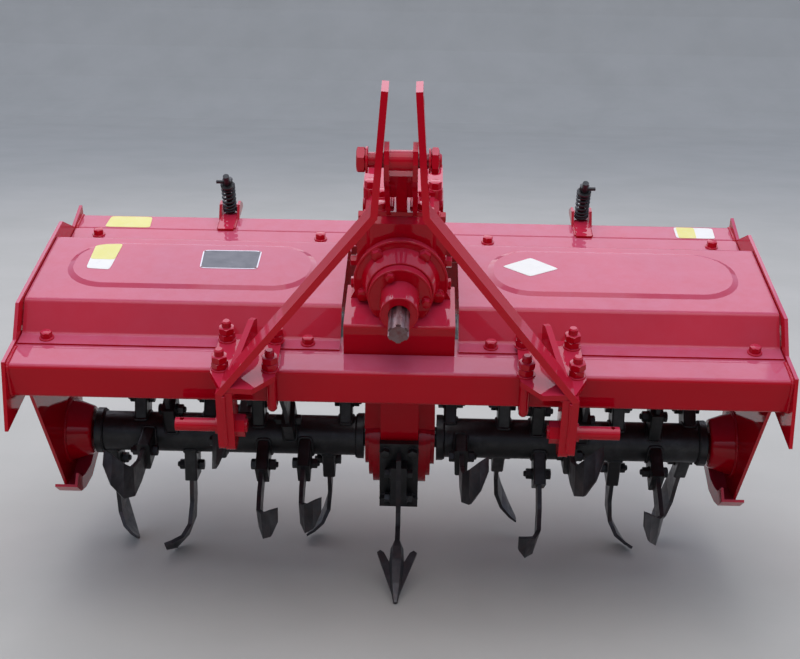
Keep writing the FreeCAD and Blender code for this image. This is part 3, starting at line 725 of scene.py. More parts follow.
def hex_block(
    flats: float,
    low: float,
    high: float,
    seat: Sequence[float],
    axis: Sequence[float],
    phase: float = 0.0,
    both: bool = False,
) -> Mesh:
    """Nut or head: a hexagon whose corners a thirty degree cone cuts, so each flat ends in an arc.

    Args:
        flats: distance across the flats.
        low: height of the underside above the seat.
        high: height of the top above the seat.
        seat: point on the axis at height zero.
        axis: direction out of the clamped face.
        phase: turn of the hexagon.
        both: whether the underside is cut as well.

    Returns:
        Points and quads.
    """
    around = 36
    a = np.linspace(0.0, TURN, around, endpoint=False)
    k, one, r = hexagon(a), np.ones(around), flats / 2.0
    cut = (k - CONE_START) * r * CONE_SLOPE
    rows = [(0.0 * one, low * one), (k * r, low * one)]
    if both:
        rows = [(0.0 * one, low * one), (CONE_START * r * one, low * one), (k * r, low + cut)]
    rows += [(k * r, high - cut), (CONE_START * r * one, high * one), (0.0 * one, high * one)]
    radial, tall = np.array(rows).swapaxes(0, 1)
    local = np.stack([radial * np.cos(a + phase), radial * np.sin(a + phase), tall], axis=-1).reshape(-1, 3)
    return local @ basis(axis).T + np.asarray(seat, float), grid_faces(len(rows), around, True)


def washer(reach: float, low: float, high: float, seat: Sequence[float], axis: Sequence[float]) -> Mesh:
    """Round washer as a closed disc with a broken upper edge.

    Args:
        reach: outer radius.
        low: height of the underside above the seat.
        high: height of the top above the seat.
        seat: point on the axis at height zero.
        axis: direction out of the clamped face.

    Returns:
        Points and quads.
    """
    around, softness = 28, 0.3
    soft = (high - low) * softness
    profile = [(0, low), (reach, low), (reach, high - soft), (reach - soft, high), (0, high)]
    return turned_profile(profile, seat, axis, around)


def stud_end(
    radius: float, low: float, high: float, seat: Sequence[float], axis: Sequence[float], pitch: float
) -> Mesh:
    """Bar end with a cone on its tip and thread ridges up to it.

    Args:
        radius: outer radius of the thread.
        low: height of its start above the seat.
        high: height of the tip above the seat.
        seat: point on the axis at height zero.
        axis: direction out of the clamped face.
        pitch: distance between two ridges.

    Returns:
        Points and quads.
    """
    around, chamfer, core = 20, 0.3, 0.93
    tip, groove = radius * chamfer, radius * core
    steps = np.arange(low + pitch / 2, high - tip, pitch / 2)
    thread = [(radius if k % 2 else groove, h) for k, h in enumerate(steps)]
    rows = [(0, low), (radius, low), *thread, (radius, high - tip), (radius - tip, high), (0, high)]
    return turned_profile(rows, seat, axis, around)


@dataclass(frozen=True)
class HexBolt:
    """Hexagon head on a washer, with an optional stud end above it."""

    flats: float
    head: float
    washer: float
    washer_reach: float = 1.3
    stud: float = 0.0
    stud_radius: float = 0.0
    pitch: float = 0.0016
    sunk: float = 0.0004
    overlap: float = 0.001
    head_foot: float = 0.9

    def mesh(self, seat: Sequence[float], axis: Sequence[float], phase: float) -> Mesh:
        """Bolt standing on a seat.

        Args:
            seat: point on the clamped face under the middle of the washer.
            axis: direction out of the face.
            phase: turn of the hexagon.

        Returns:
            Points and quads of the whole fitting.
        """
        top = self.washer + self.head
        parts = [
            washer(self.flats / 2 * self.washer_reach, -self.sunk, self.washer, seat, axis),
            hex_block(self.flats, self.washer * self.head_foot, top, seat, axis, phase),
        ]
        if self.stud > 0:
            low, high = top - self.overlap, top + self.stud
            parts.append(stud_end(self.stud_radius, low, high, seat, axis, self.pitch))
        return joined(parts)


@dataclass(frozen=True)
class WeldBead:
    """Bead left by hand welding: a half-sunk round strip whose radius swells with each puddle."""

    size: float = 0.0034
    pitch: float = 0.0042
    swell: float = 0.14
    waver: float = 0.10
    waver_length: float = 0.011
    samples: float = 3.3
    least: int = 6
    around: int = 7
    lap: float = 1.02
    ring_points: int = 90
    tube_lap: float = 1.015
    tube_points: int = 160

    def mesh(self, path: np.ndarray, helper: Sequence[float] | None = None) -> Mesh:
        """Bead along a path: radius = size (1 + swell cos(2 pi s / pitch) + waver sin(s / waver_length)).

        Args:
            path: points of the seam.
            helper: direction that the path never runs along.

        Returns:
            Points and quads.
        """
        steps = np.linalg.norm(np.diff(path, axis=0), axis=1)
        s = np.concatenate([[0.0], np.cumsum(steps)])
        fine = np.linspace(0.0, s[-1], max(self.least, int(s[-1] / self.pitch * self.samples)))
        line = np.stack([np.interp(fine, s, path[:, k]) for k in range(3)], axis=-1)
        puddles = self.swell * np.cos(TURN * fine / self.pitch)
        radius = self.size * (1.0 + puddles + self.waver * np.sin(fine / self.waver_length))
        return swept_round(line, radius, self.around, helper)

    def straight(self, start: Sequence[float], end: Sequence[float]) -> Mesh:
        """Bead between two points."""
        return self.mesh(np.array([start, end], float))

    def ring(self, centre: Sequence[float], radius: float, axis: Sequence[float]) -> Mesh:
        """Bead round a circle, its end lapping over its start.

        Args:
            centre: middle of the circle.
            radius: radius of the seam.
            axis: direction square to the circle.

        Returns:
            Points and quads.
        """
        a = np.linspace(0.0, TURN * self.lap, self.ring_points)
        local = np.stack([radius * np.cos(a), radius * np.sin(a), 0.0 * a], axis=-1)
        return self.mesh(local @ basis(axis).T + np.asarray(centre, float), axis)

    def tube(self, x: float, y0: float, y1: float, z0: float, z1: float) -> Mesh:
        """Bead round the end of a square tube, a rounded square over its half sizes.

        Args:
            x: plate that the tube meets.
            y0: front face of the tube.
            y1: rear face.
            z0: underside.
            z1: top.

        Returns:
            Points and quads.
        """
        u, v = rounded_square(np.linspace(0.0, TURN * self.tube_lap, self.tube_points), TUBE_CORNER)
        y, z = (y0 + y1) / 2 + u * (y1 - y0) / 2, (z0 + z1) / 2 + v * (z1 - z0) / 2
        return self.mesh(np.stack([np.full_like(y, x), y, z], axis=-1), ACROSS)


@dataclass(frozen=True)
class CoilSpring:
    """Compression spring around its rod with closed ends."""

    radius: float = 0.0116
    wire: float = 0.0024
    turns: float = 9.0
    ease: float = 0.35
    points_a_turn: int = 28
    around: int = 10

    def mesh(self, foot: np.ndarray, head: np.ndarray) -> Mesh:
        """Wire along a helix whose rise eases in over the first and last turn.

        Args:
            foot: lower end on the rod's axis.
            head: upper end on the rod's axis.

        Returns:
            Points and quads.
        """
        t = np.linspace(0.0, 1.0, int(self.turns * self.points_a_turn))
        eased = t - np.sin(TURN * t) / TURN * self.ease
        way = head - foot
        length = np.linalg.norm(way)
        a = TURN * self.turns * t
        local = np.stack([self.radius * np.cos(a), self.radius * np.sin(a), eased * length], axis=-1)
        return swept_round(local @ basis(way / length).T + foot, self.wire, self.around)


def slab(
    corners: Sequence[Sequence[float]],
    low: float,
    high: float,
    soft: float,
    sag: Callable[[np.ndarray], np.ndarray] | None = None,
) -> Mesh:
    """Thin film or plate over four corners: a rounded square mapped between them by the bilinear rule.

    Args:
        corners: four points in order, at one height.
        low: height of the underside above them.
        high: height of the top above them.
        soft: exponent of the rounded square, sharper corners with a larger one.
        sag: drop of the surface below at each point, where it isn't flat.

    Returns:
        Points and quads.
    """
    around, rings = 64, 10
    p = np.asarray(corners, float)
    sides = rounded_square(np.linspace(0.0, TURN, around, endpoint=False), soft)
    ring = bilinear(p, *((side[:, None] + 1) / 2 for side in sides))
    shares = np.linspace(0.0, 1.0, rings)
    middle = p.mean(axis=0)
    heights = [(k, low) for k in shares] + [(k, high) for k in shares[::-1]]
    points = np.concatenate([middle + (ring - middle) * k + (0.0, 0.0, height) for k, height in heights])
    if sag is not None:
        points[:, 2] -= sag(points)
    return points, grid_faces(len(heights), around, True)


# Sub-assemblies


@dataclass
class Hood:
    """Covers: their flange bolts and inner webs, the blank labels and the blank plate."""

    flange_z: float = 0.3412
    beam_z: float = 0.339
    panel_z: float = 0.390
    panel_x: tuple[float, float] = (0.148, 0.5945)
    panel_y: tuple[float, float] = (-0.121, 0.052)
    panel_corner: float = 0.080
    panel_slope: float = 0.014
    panel_rise: float = 0.004
    # Black strips of painted shade in the gaps beside the gear case's base, standing in for the shaded inside
    # of the hood
    gap_x: tuple[float, float] = (0.0921, 0.0989)
    gap_y: tuple[float, float] = (-0.2355, -0.098)
    gap_z: tuple[float, float] = (0.330, 0.336)
    web_x: tuple[float, float] = (0.0992, 0.1010)
    web_foot: float = 0.318
    web_line: Outline = (
        (-0.206, 0.3378), (-0.199, 0.3378), (-0.160, 0.383), (0.068, 0.383), (0.112, 0.3378), (0.160, 0.3378))
    bolt: HexBolt = HexBolt(flats=0.017, head=0.010, washer=0.0025, washer_reach=1.45)
    bolt_turn: tuple[float, float] = (0.2, 3.0)
    bolts: Outline = (
        (-0.592, -0.214), (-0.153, -0.214), (0.153, -0.214), (0.592, -0.214),
        (-0.587, 0.166), (0.587, 0.166), (-0.160, 0.166), (0.160, 0.166))
    beam_label_left: Outline = ((-0.580, 0.250), (-0.499, 0.250), (-0.496, 0.204), (-0.584, 0.204))
    beam_label_right: Outline = ((0.527, 0.250), (0.603, 0.248), (0.601, 0.204), (0.527, 0.204))
    beam_band: tuple[float, float] = (0.06, 0.52)
    cover_label: Outline = ((-0.557, 0.032), (-0.509, 0.036), (-0.514, -0.061), (-0.556, -0.057))
    cover_band: float = 0.62
    plate: Outline = ((-0.360, 0.019), (-0.254, 0.020), (-0.255, -0.049), (-0.357, -0.049))
    plate_face: tuple[float, float] = (0.955, 0.92)
    rivet_inset: tuple[float, float] = (0.035, 0.07)
    rivet: Outline = ((0, 0.0), (0.0024, 0.0), (0.0021, 0.0009), (0.0012, 0.0014), (0, 0.0016))
    rivet_points: int = 14
    badge: Outline = ((0.178, -0.020), (0.230, 0.014), (0.277, -0.025), (0.225, -0.055))
    film: tuple[float, float] = (-0.0002, 0.0005)
    lift: float = 0.0002
    face_lifts: float = 1.5
    film_corner: float = 12.0
    plate_corner: float = 16.0
    badge_corner: float = 20.0
    strip_corner: float = 24.0

    def build(self, shop: Workshop) -> None:
        """Make the bolts, films, plate, black strips of painted shade and webs of the covers and the rear
        beam.
        """
        seats = [(x, y, self.flange_z) for x, y in self.bolts]
        start, step = self.bolt_turn
        bolts = joined(self.bolt.mesh(seat, UP, start + step * k) for k, seat in enumerate(seats))
        shop.piece("cover_bolts", bolts, shop.finishes.red)
        self.films(shop)
        inset_u, inset_v = self.rivet_inset
        feet = [self.inside(self.plate, u, v) for u in (inset_u, 1 - inset_u) for v in (inset_v, 1 - inset_v)]
        rivets = [turned_profile(self.rivet, (x, y, self.panel_z), UP, self.rivet_points) for x, y in feet]
        shop.piece("plate_rivets", joined(rivets), shop.finishes.bare)
        # Black strips of painted shade in the gaps beside the gear case
        shop.piece("gap_strips", joined(self.gap_strip(s) for s in (1, -1)), shop.finishes.black)
        shop.piece("cover_end_webs", joined(self.end_web(s) for s in (1, -1)), shop.finishes.red)

    def films(self, shop: Workshop) -> None:
        """Lay the blank labels, the plate and the badge on the rear beam and the pressed panels.

        Args:
            shop: where the pieces are made.
        """
        coats, beam, panel, sag = shop.finishes, self.beam_z, self.panel_z, self.panel_sag
        face_z, sharp, sharper = panel + self.face_lifts * self.lift, self.film_corner, self.plate_corner
        beam_band = self.part(self.beam_label_right, *self.beam_band)
        cover_band = self.part(self.cover_label, 0.0, 1.0, 0.0, self.cover_band)
        half_u, half_v = (share / 2 for share in self.plate_face)
        plate_face = self.part(self.plate, 0.5 - half_u, 0.5 + half_u, 0.5 - half_v, 0.5 + half_v)
        for name, outline, z, finish, corner, drop in (
            ("film_beam_left", self.beam_label_left, beam, coats.yellow, sharp, None),
            ("film_beam_right", self.beam_label_right, beam, coats.white, sharp, None),
            ("film_beam_right_band", beam_band, beam + self.lift, coats.yellow, sharp, None),
            ("film_cover", self.cover_label, panel, coats.white, sharp, sag),
            ("film_cover_band", cover_band, panel + self.lift, coats.yellow, sharp, sag),
            ("plate_rim", self.plate, panel, coats.rim, sharper, None),
            ("plate_face", plate_face, face_z, coats.plate, sharper, None),
            ("badge", self.badge, panel, coats.white, self.badge_corner, sag),
        ):
            shop.piece(name, slab([(x, y, z) for x, y in outline], *self.film, corner, drop), finish)

    def gap_strip(self, s: int) -> Mesh:
        """Black strip of painted shade in the gap between the gear case's base and one cover, where the
        hood's inside lies in shade.

        Args:
            s: sign of X of its side.

        Returns:
            Points and quads.
        """
        (x0, x1), (y0, y1), (low, high) = self.gap_x, self.gap_y, self.gap_z
        corners = [(s * x0, y0, high), (s * x1, y0, high), (s * x1, y1, high), (s * x0, y1, high)]
        return slab(corners[::s], low - high, 0.0, self.strip_corner)

    def end_web(self, s: int) -> Mesh:
        """Upright sheet under one cover's inner edge: four corners at each fold, closed at both ends.

        Args:
            s: sign of X of its side.

        Returns:
            Points and quads.
        """
        (x0, x1), foot = (s * x for x in self.web_x), self.web_foot
        rings = [np.array([(x0, y, foot), (x1, y, foot), (x1, y, z), (x0, y, z)]) for y, z in self.web_line]
        first, last = (np.broadcast_to(ring.mean(axis=0), ring.shape) for ring in (rings[0], rings[-1]))
        return np.concatenate([first, *rings, last]), grid_faces(len(rings) + 2, 4, True)

    @staticmethod
    def inside(corners: Outline, u: float, v: float) -> tuple[float, float]:
        """Point of a four-cornered outline at shares u and v of its sides."""
        x, y = bilinear(corners, u, v)
        return float(x), float(y)

    def part(self, corners: Outline, u0: float, u1: float, v0: float = 0.0, v1: float = 1.0) -> Outline:
        """Outline of the share u0 to u1 by v0 to v1 of a four-cornered outline."""
        return [self.inside(corners, u, v) for u, v in ((u0, v0), (u1, v0), (u1, v1), (u0, v1))]

    def panel_sag(self, points: np.ndarray) -> np.ndarray:
        """Drop below the panel's flat: the slope's share at each point's distance from the rounded outline.

        Args:
            points: points over the panel.

        Returns:
            The drop at each of them.
        """
        half = np.array([self.panel_x[1] - self.panel_x[0], self.panel_y[1] - self.panel_y[0]]) / 2
        middle = np.array([sum(self.panel_x), sum(self.panel_y)]) / 2
        folded = np.stack([np.abs(points[:, 0]), points[:, 1]], axis=-1)
        off = np.abs(folded - middle) - half + self.panel_corner
        within = np.minimum(off.max(axis=1), 0.0)
        reach = np.linalg.norm(np.maximum(off, 0.0), axis=1) + within - self.panel_corner
        return self.panel_rise * np.clip(1.0 + reach / self.panel_slope, 0.0, 1.0)


@dataclass
class GearCase:
    """Gear case: bolts of its flange disc, seal ring, lid, sides and shoulders, two plugs and the rims."""

    shaft_z: float = 0.428
    disc_y: float = -0.156
    disc_circle: float = 0.067
    disc_turns: tuple[int, ...] = (54, 126, 198, 270, 342)
    ring_y: float = -0.208
    ring_circle: float = 0.0435
    ring_turns: tuple[int, ...] = (112, 232, 352)
    lid_z: float = 0.547
    lid_x: float = 0.055
    lid_y: tuple[float, float] = (-0.038, 0.058)
    side_x: float = 0.074
    side_y: float = -0.123
    side_z: tuple[float, float, float] = (0.410, 0.452, 0.490)
    shoulder: tuple[float, float, float] = (0.062, -0.100, 0.524)
    filler_y: float = 0.030
    filler: Outline = (
        (0, 0.0), (0.011, 0.0), (0.011, 0.006), (0.009, 0.010), (0.0045, 0.013), (0.0045, 0.019), (0, 0.021))
    drain: tuple[float, float, float] = (0.0, 0.0918, 0.010)
    drain_way: tuple[float, float, float] = (0, 1, 0.1)
    disc_bolt: HexBolt = HexBolt(flats=0.017, head=0.010, washer=0.0022, washer_reach=1.25)
    ring_bolt: HexBolt = HexBolt(flats=0.013, head=0.0075, washer=0.0016, washer_reach=1.25)
    lid_bolt: HexBolt = HexBolt(flats=0.019, head=0.012, washer=0.0025)
    side_bolt: HexBolt = HexBolt(flats=0.017, head=0.009, washer=0.0022)
    plug: HexBolt = HexBolt(flats=0.022, head=0.008, washer=0.002)
    filler_points: int = 24
    rims: tuple[tuple[float, float, float], ...] = (
        (0.0790, -0.1560, 0.0030), (0.0560, -0.1900, 0.0022),
        (0.0530, -0.2080, 0.0022), (0.0310, -0.2620, 0.0020))
    rim_sunk: float = 0.75
    rim_points: int = 97
    rim_around: int = 12

    def on_circle(self, radius: float, y: float, turns: Sequence[float]) -> list[tuple[float, float, float]]:
        """Points on a circle round the input shaft.

        Args:
            radius: radius of the circle.
            y: its place along the shaft.
            turns: angle of each point in degrees.

        Returns:
            One point for each angle.
        """
        angles = [math.radians(turn) for turn in turns]
        return [(radius * math.cos(a), y, self.shaft_z + radius * math.sin(a)) for a in angles]

    def build(self, shop: Workshop) -> None:
        """Make all bolts and plugs of the gear case and the rims of its input flange."""
        front, sides = (0, -1, 0), (-1, 1)
        lid, side = self.lid_bolt, self.side_bolt
        on_disc = self.on_circle(self.disc_circle, self.disc_y, self.disc_turns)
        on_ring = self.on_circle(self.ring_circle, self.ring_y, self.ring_turns)
        meshes = [self.disc_bolt.mesh(place, front, phase=0.4 + k) for k, place in enumerate(on_disc)]
        meshes += [self.ring_bolt.mesh(place, front, phase=0.9 + k) for k, place in enumerate(on_ring)]
        for s in sides:
            meshes += [lid.mesh((s * self.lid_x, y, self.lid_z), UP, phase=0.3 + y * 9) for y in self.lid_y]
        for s in sides:
            seats = [(s * self.side_x, self.side_y, z) for z in self.side_z]
            meshes += [side.mesh(seat, (s, 0, 0), phase=seat[2] * 31) for seat in seats]
        x, y, z = self.shoulder
        meshes += [side.mesh((s * x, y, z), (s, 0, 0), phase=0.5) for s in sides]
        meshes.append(turned_profile(self.filler, (0.0, self.filler_y, self.lid_z), UP, self.filler_points))
        meshes.append(self.plug.mesh(self.drain, self.drain_way, phase=0.2))
        shop.piece("gear_case_bolts", joined(meshes), shop.finishes.red)
        rims = joined(self.rim(*row) for row in self.rims)
        shop.piece("flange_rims", rims, shop.finishes.red, smooth=ROUND_ANGLE)

    def rim(self, radius: float, y: float, size: float) -> Mesh:
        """Rounded front edge of one flange step: a round strip sunk so that only its outer face shows.

        Args:
            radius: radius of the step.
            y: front face of the step.
            size: radius of the strip.

        Returns:
            Points and quads.
        """
        a = np.linspace(0.0, TURN, self.rim_points)
        sunk = size * self.rim_sunk
        reach = radius - sunk
        across, up = reach * np.cos(a), self.shaft_z + reach * np.sin(a)
        path = np.stack([across, np.full_like(a, y + sunk), up], axis=-1)
        return swept_round(path, size, self.rim_around, BACK)


@dataclass
class Hitch:
    """Lower hitch: U-bolts with their nuts and washers, and the welded seams of the brackets."""

    plate_z: float = 0.349
    leg_x: tuple[float, float] = (0.206, 0.287)
    leg_y: tuple[float, float] = (-0.308, -0.220)
    bar: float = 0.008
    pitch: float = 0.0020
    low: float = 0.2688
    bend: float = 0.014
    top: float = 0.386
    washer_reach: float = 0.0150
    washer: float = 0.0024
    flats: float = 0.024
    nut: float = 0.0115
    nut_gap: float = 0.0002
    washer_sunk: float = 0.0002
    thread_foot: float = 0.002
    bend_points: int = 9
    bar_around: int = 20
    gusset_turn: float = 12.0
    gusset_half: float = 0.0065
    gusset_length: float = 0.108
    gusset_foot: tuple[float, float, float] = (0.241, -0.216, 0.3505)
    lug_seams: tuple[tuple[tuple[float, float, float], tuple[float, float, float]], ...] = (
        ((0.2605, -0.362, 0.3375), (0.2605, -0.318, 0.3375)),
        ((0.2755, -0.3665, 0.240), (0.2755, -0.3665, 0.334)),
        ((0.2755, -0.3245, 0.240), (0.2755, -0.3245, 0.330)))

    def build(self, shop: Workshop) -> None:
        """Make the U-bolts of both sides in place of the plain ones, and the seams."""
        for side in Side:
            bolts = joined(self.u_bolt(side.value * x, k) for k, x in enumerate(self.leg_x))
            made = shop.piece(f"u_bolts_{side.label}", bolts, shop.finishes.red)
            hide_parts(f"hitch_u_bolts_{side.label}")
            seams = self.welds(side.value)
            shop.piece(f"hitch_welds_{side.label}", seams, shop.finishes.red, smooth=ROUND_ANGLE)

    def u_bolt(self, x: float, turn: int) -> Mesh:
        """Round bar bent under the beam: legs, quarter bends, the run below, and washers and nuts on top.

        Args:
            x: place along the beam.
            turn: number that turns its nuts.

        Returns:
            Points and quads.
        """
        y0, y1 = self.leg_y
        a = np.linspace(0.0, TURN / 4, self.bend_points)
        line, near, far = np.full_like(a, x), self.bend * (1 - np.cos(a)), self.bend * (1 - np.sin(a))
        front = np.stack([line, y0 + near, self.low + far], axis=-1)
        rear = np.stack([line, y1 - far, self.low + near], axis=-1)
        upper = self.plate_z + 2 * self.nut
        path = np.concatenate([[[x, y0, upper]], front, rear, [[x, y1, upper]]])
        parts = [swept_round(path, self.bar, self.bar_around, ACROSS)]
        first, second = self.washer, self.washer + self.nut_gap + self.nut
        for k, y in enumerate(self.leg_y):
            seat = (x, y, self.plate_z)
            parts.append(washer(self.washer_reach, -self.washer_sunk, self.washer, seat, UP))
            for low, phase in ((first, 0.35 + turn + k), (second, 0.75 + 2 * turn + k)):
                parts.append(hex_block(self.flats, low, low + self.nut, seat, UP, phase, both=True))
            tip = self.top - self.plate_z
            parts.append(stud_end(self.bar, self.thread_foot, tip, seat, UP, self.pitch))
        return joined(parts)

    def welds(self, s: int) -> Mesh:
        """Beads along both sides of the gusset's foot, under the lug's top and down its back.

        Args:
            s: sign of X of the side.

        Returns:
            Points and quads.
        """
        bead = WeldBead(size=0.0038)
        turn = math.radians(self.gusset_turn)
        c, d = math.cos(turn), math.sin(turn)
        x, y, z = self.gusset_foot
        run_x, run_y = self.gusset_length * d, self.gusset_length * c
        parts = []
        for off in (-self.gusset_half, self.gusset_half):
            start = (s * (x - off * c), y - off * d, z)
            end = (s * (x + run_x - off * c), y - run_y - off * d, z)
            parts.append(bead.straight(start, end))
        mirror = np.array([s, 1, 1])
        parts += [bead.straight(mirror * start, mirror * end) for start, end in self.lug_seams]
        return joined(parts)


@dataclass
class Mast:
    """Cross bolt through the bars and lugs with its spacer, washers and nut, and the lugs' fixings."""

    y: float = -0.239
    z: float = 0.688
    lid_z: float = 0.547
    shank: Outline = ((0, -0.064), (0.012, -0.064), (0.012, 0.059), (0.0095, 0.062), (0, 0.062))
    spacer: Outline = ((0.012, -0.018), (0.016, -0.018), (0.016, 0.018), (0.012, 0.018))
    flats: float = 0.036
    head: tuple[float, float] = (-0.068, -0.0545)
    nut: tuple[float, float] = (0.0458, 0.058)
    head_washer: tuple[float, float, float] = (0.0205, -0.054, -0.050)
    nut_washer: tuple[float, float, float] = (0.0195, 0.042, 0.0455)
    lug_y: tuple[float, float] = (-0.118, -0.070)
    lug_faces: tuple[float, float] = (0.0165, 0.0275)
    foot_bolt_x: float = 0.036
    foot_bolt: HexBolt = HexBolt(flats=0.017, head=0.010, washer=0.0022)
    around: int = 32

    def build(self, shop: Workshop) -> None:
        """Make the cross bolt in place of the plain one, and the beads and bolts of the lugs' feet."""
        seat = (0.0, self.y, self.z)
        parts = [
            turned_profile(self.shank, seat, ACROSS, self.around),
            turned_profile(self.spacer, seat, ACROSS, self.around),
            hex_block(self.flats, *self.head, seat, ACROSS, phase=0.5, both=True),
            washer(*self.head_washer, seat, ACROSS),
            washer(*self.nut_washer, seat, ACROSS),
            hex_block(self.flats, *self.nut, seat, ACROSS, phase=0.2, both=True),
        ]
        made = shop.piece("cross_bolt", joined(parts), shop.finishes.red)
        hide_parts("mast_cross_bolt")
        bead, bolt = WeldBead(size=0.003), self.foot_bolt
        (front, rear), z = self.lug_y, self.lid_z + bead.size / 2
        feet = [s * x for s in (-1, 1) for x in self.lug_faces]
        fixings = [bead.straight((x, front, z), (x, rear, z)) for x in feet]
        for s in (-1, 1):
            seats = [(s * self.foot_bolt_x, y, self.lid_z) for y in self.lug_y]
            fixings += [bolt.mesh(seat, UP, phase=0.4 + seat[1]) for seat in seats]
        shop.piece("mast_lug_fixings", joined(fixings), shop.finishes.red, smooth=50.0)


@dataclass
class FrameSeams:
    """Welded seams of the frame: beams, bearing rings and rod shelves."""

    plate_x: float = 0.638
    beam_z: tuple[float, float] = (0.277, 0.339)
    front_y: tuple[float, float] = (-0.298, -0.236)
    rear_y: tuple[float, float] = (0.196, 0.258)
    bearing: float = 0.0625
    rod_x: float = 0.347
    shelf_half: float = 0.0155
    shelf_y: tuple[float, float] = (0.204, 0.252)
    shelf_z: float = 0.3395

    def build(self, shop: Workshop) -> None:
        """Make the beads in one piece."""
        bead, fine = WeldBead(size=0.0036), WeldBead(size=0.0026)
        front, rear = self.shelf_y
        parts = []
        for side in Side:
            plate = side.value * self.plate_x
            parts += [bead.tube(plate, *ys, *self.beam_z) for ys in (self.front_y, self.rear_y)]
            parts.append(bead.ring((plate, 0, 0), self.bearing, ACROSS))
            for off in (-self.shelf_half, self.shelf_half):
                x = side.value * self.rod_x + off
                parts.append(fine.straight((x, front, self.shelf_z), (x, rear, self.shelf_z)))
        shop.piece("frame_seams", joined(parts), shop.finishes.red, smooth=ROUND_ANGLE)


@dataclass(frozen=True)
class Tine:
    """One blade: share of the tube's end, degrees from straight down to the front, way of its bend."""

    root: float
    angle: float
    way: int


@dataclass
class Rotor:
    """Rotor tubes: clamp bolts of each blade and the seams round each socket and end flange."""

    tube_end: float = 0.587
    inner_end: float = 0.070
    flange: float = 0.0125
    tube: float = 0.038
    bolt_reach: float = 0.067
    half_x: float = 0.012
    half_y: float = 0.027
    proud: float = 0.0004
    proud_sides: float = 1.5
    head: HexBolt = HexBolt(flats=0.018, head=0.009, washer=0.0020, washer_reach=1.2)
    nut: HexBolt = HexBolt(
        flats=0.018, head=0.0105, washer=0.0024, washer_reach=1.25, stud=0.0045, stud_radius=0.0058)
    foot_bead: WeldBead = WeldBead(size=0.0032, pitch=0.005)
    foot_points: int = 120
    end_bead: WeldBead = WeldBead(size=0.0035, pitch=0.005)
    end_proud: float = 0.001
    left: tuple[Tine, ...] = tuple(Tine(*row) for row in (
        (0.821, 93, -1), (0.954, -2, 1), (0.690, 16, -1), (0.573, 112, 1), (0.445, 64, 1),
        (0.237, -10, -1), (0.309, 71, 1), (0.852, 205, -1), (0.747, 165, 1), (0.628, 220, -1),
        (0.464, 190, 1), (0.359, 150, -1), (0.179, 205, 1), (0.520, 262, -1)))
    right: tuple[Tine, ...] = tuple(Tine(*row) for row in (
        (0.199, 94, 1), (0.329, -27, 1), (0.457, 46, -1), (0.546, 100, 1), (0.711, -4, 1),
        (0.832, 67, -1), (0.944, -24, -1), (0.163, 215, 1), (0.339, 200, -1), (0.447, 180, 1),
        (0.590, 160, -1), (0.710, 200, 1), (0.826, 172, -1), (0.949, 225, -1)))

    @staticmethod
    def spun(mesh: Mesh, degrees: float) -> Mesh:
        """Mesh turned about the rotor axis from straight down towards the front.

        Args:
            mesh: points and quads.
            degrees: the turn.

        Returns:
            The turned points and the same quads.
        """
        c, s = math.cos(math.radians(-degrees)), math.sin(math.radians(-degrees))
        (x, y, z), quads = mesh[0].T, mesh[1]
        return np.stack([x, y * c - z * s, y * s + z * c], axis=-1), quads

    def clamp(self, tine: Tine, end: float) -> Mesh:
        """Bolt head on the side away from the bend, nut and stud end on the other.

        Args:
            tine: the blade's place.
            end: tube's end, with the sign of its side.

        Returns:
            Points and quads.
        """
        x, off = tine.root * end, tine.way * self.half_x
        head = self.head.mesh((x - off, 0, -self.bolt_reach), (-tine.way, 0, 0), phase=tine.root * 40)
        nut = self.nut.mesh((x + off, 0, -self.bolt_reach), (tine.way, 0, 0), phase=tine.root * 70)
        return self.spun(joined([head, nut]), tine.angle)

    def foot_seam(self, tine: Tine, end: float) -> Mesh:
        """Bead where the socket stands on the tube: a rounded square over the socket, laid on the cylinder.

        Args:
            tine: the blade's place.
            end: tube's end, with the sign of its side.

        Returns:
            Points and quads.
        """
        bead = self.foot_bead
        u, v = rounded_square(np.linspace(0.0, TURN * bead.lap, self.foot_points), TUBE_CORNER)
        x = tine.root * end + u * (self.half_x + self.proud_sides * self.proud)
        y = v * (self.half_y + self.proud)
        z = -np.sqrt(np.maximum((self.tube + self.proud) ** 2 - y**2, 0.0))
        return self.spun(bead.mesh(np.stack([x, y, z], axis=-1), UP), tine.angle)

    def build(self, shop: Workshop) -> None:
        """Make the clamps and seams of both halves."""
        black, radius = shop.finishes.black, self.tube + self.end_proud
        for side, tines in ((Side.LEFT, self.left), (Side.RIGHT, self.right)):
            end = side.value * self.tube_end
            clamps = joined(self.clamp(tine, end) for tine in tines)
            shop.piece(f"blade_clamps_{side.label}", clamps, black, "rotor")
            seams = [self.foot_seam(tine, end) for tine in tines]
            for x in (self.inner_end + self.flange, self.tube_end - self.flange):
                seams.append(self.end_bead.ring((side.value * x, 0, 0), radius, ACROSS))
            shop.piece(f"rotor_seams_{side.label}", joined(seams), black, "rotor", ROUND_ANGLE)


@dataclass
class Share:
    """Centre share: bolts of its bracket and the clamp bolts through its shank."""

    face_y: float = -0.112
    bolt_x: float = 0.0255
    bolt_z: tuple[float, float] = (0.046, -0.062)
    clamp_x: float = 0.015
    clamp_y: float = -0.1255
    clamp_z: tuple[float, float] = (0.006, -0.050)
    bolt: HexBolt = HexBolt(flats=0.017, head=0.010, washer=0.0024)
    clamp: HexBolt = HexBolt(flats=0.016, head=0.009, washer=0.0020)

    def build(self, shop: Workshop) -> None:
        """Make the bolts."""
        meshes = []
        for s in (-1, 1):
            seats = [(s * self.bolt_x, self.face_y, z) for z in self.bolt_z]
            meshes += [self.bolt.mesh(seat, (0, -1, 0), phase=0.4 + seat[2] * 50 + s) for seat in seats]
        for s in (-1, 1):
            seats = [(s * self.clamp_x, self.clamp_y, z) for z in self.clamp_z]
            meshes += [self.clamp.mesh(seat, (s, 0, 0), phase=seat[2] * 60) for seat in seats]
        shop.piece("share_bolts", joined(meshes), shop.finishes.black)


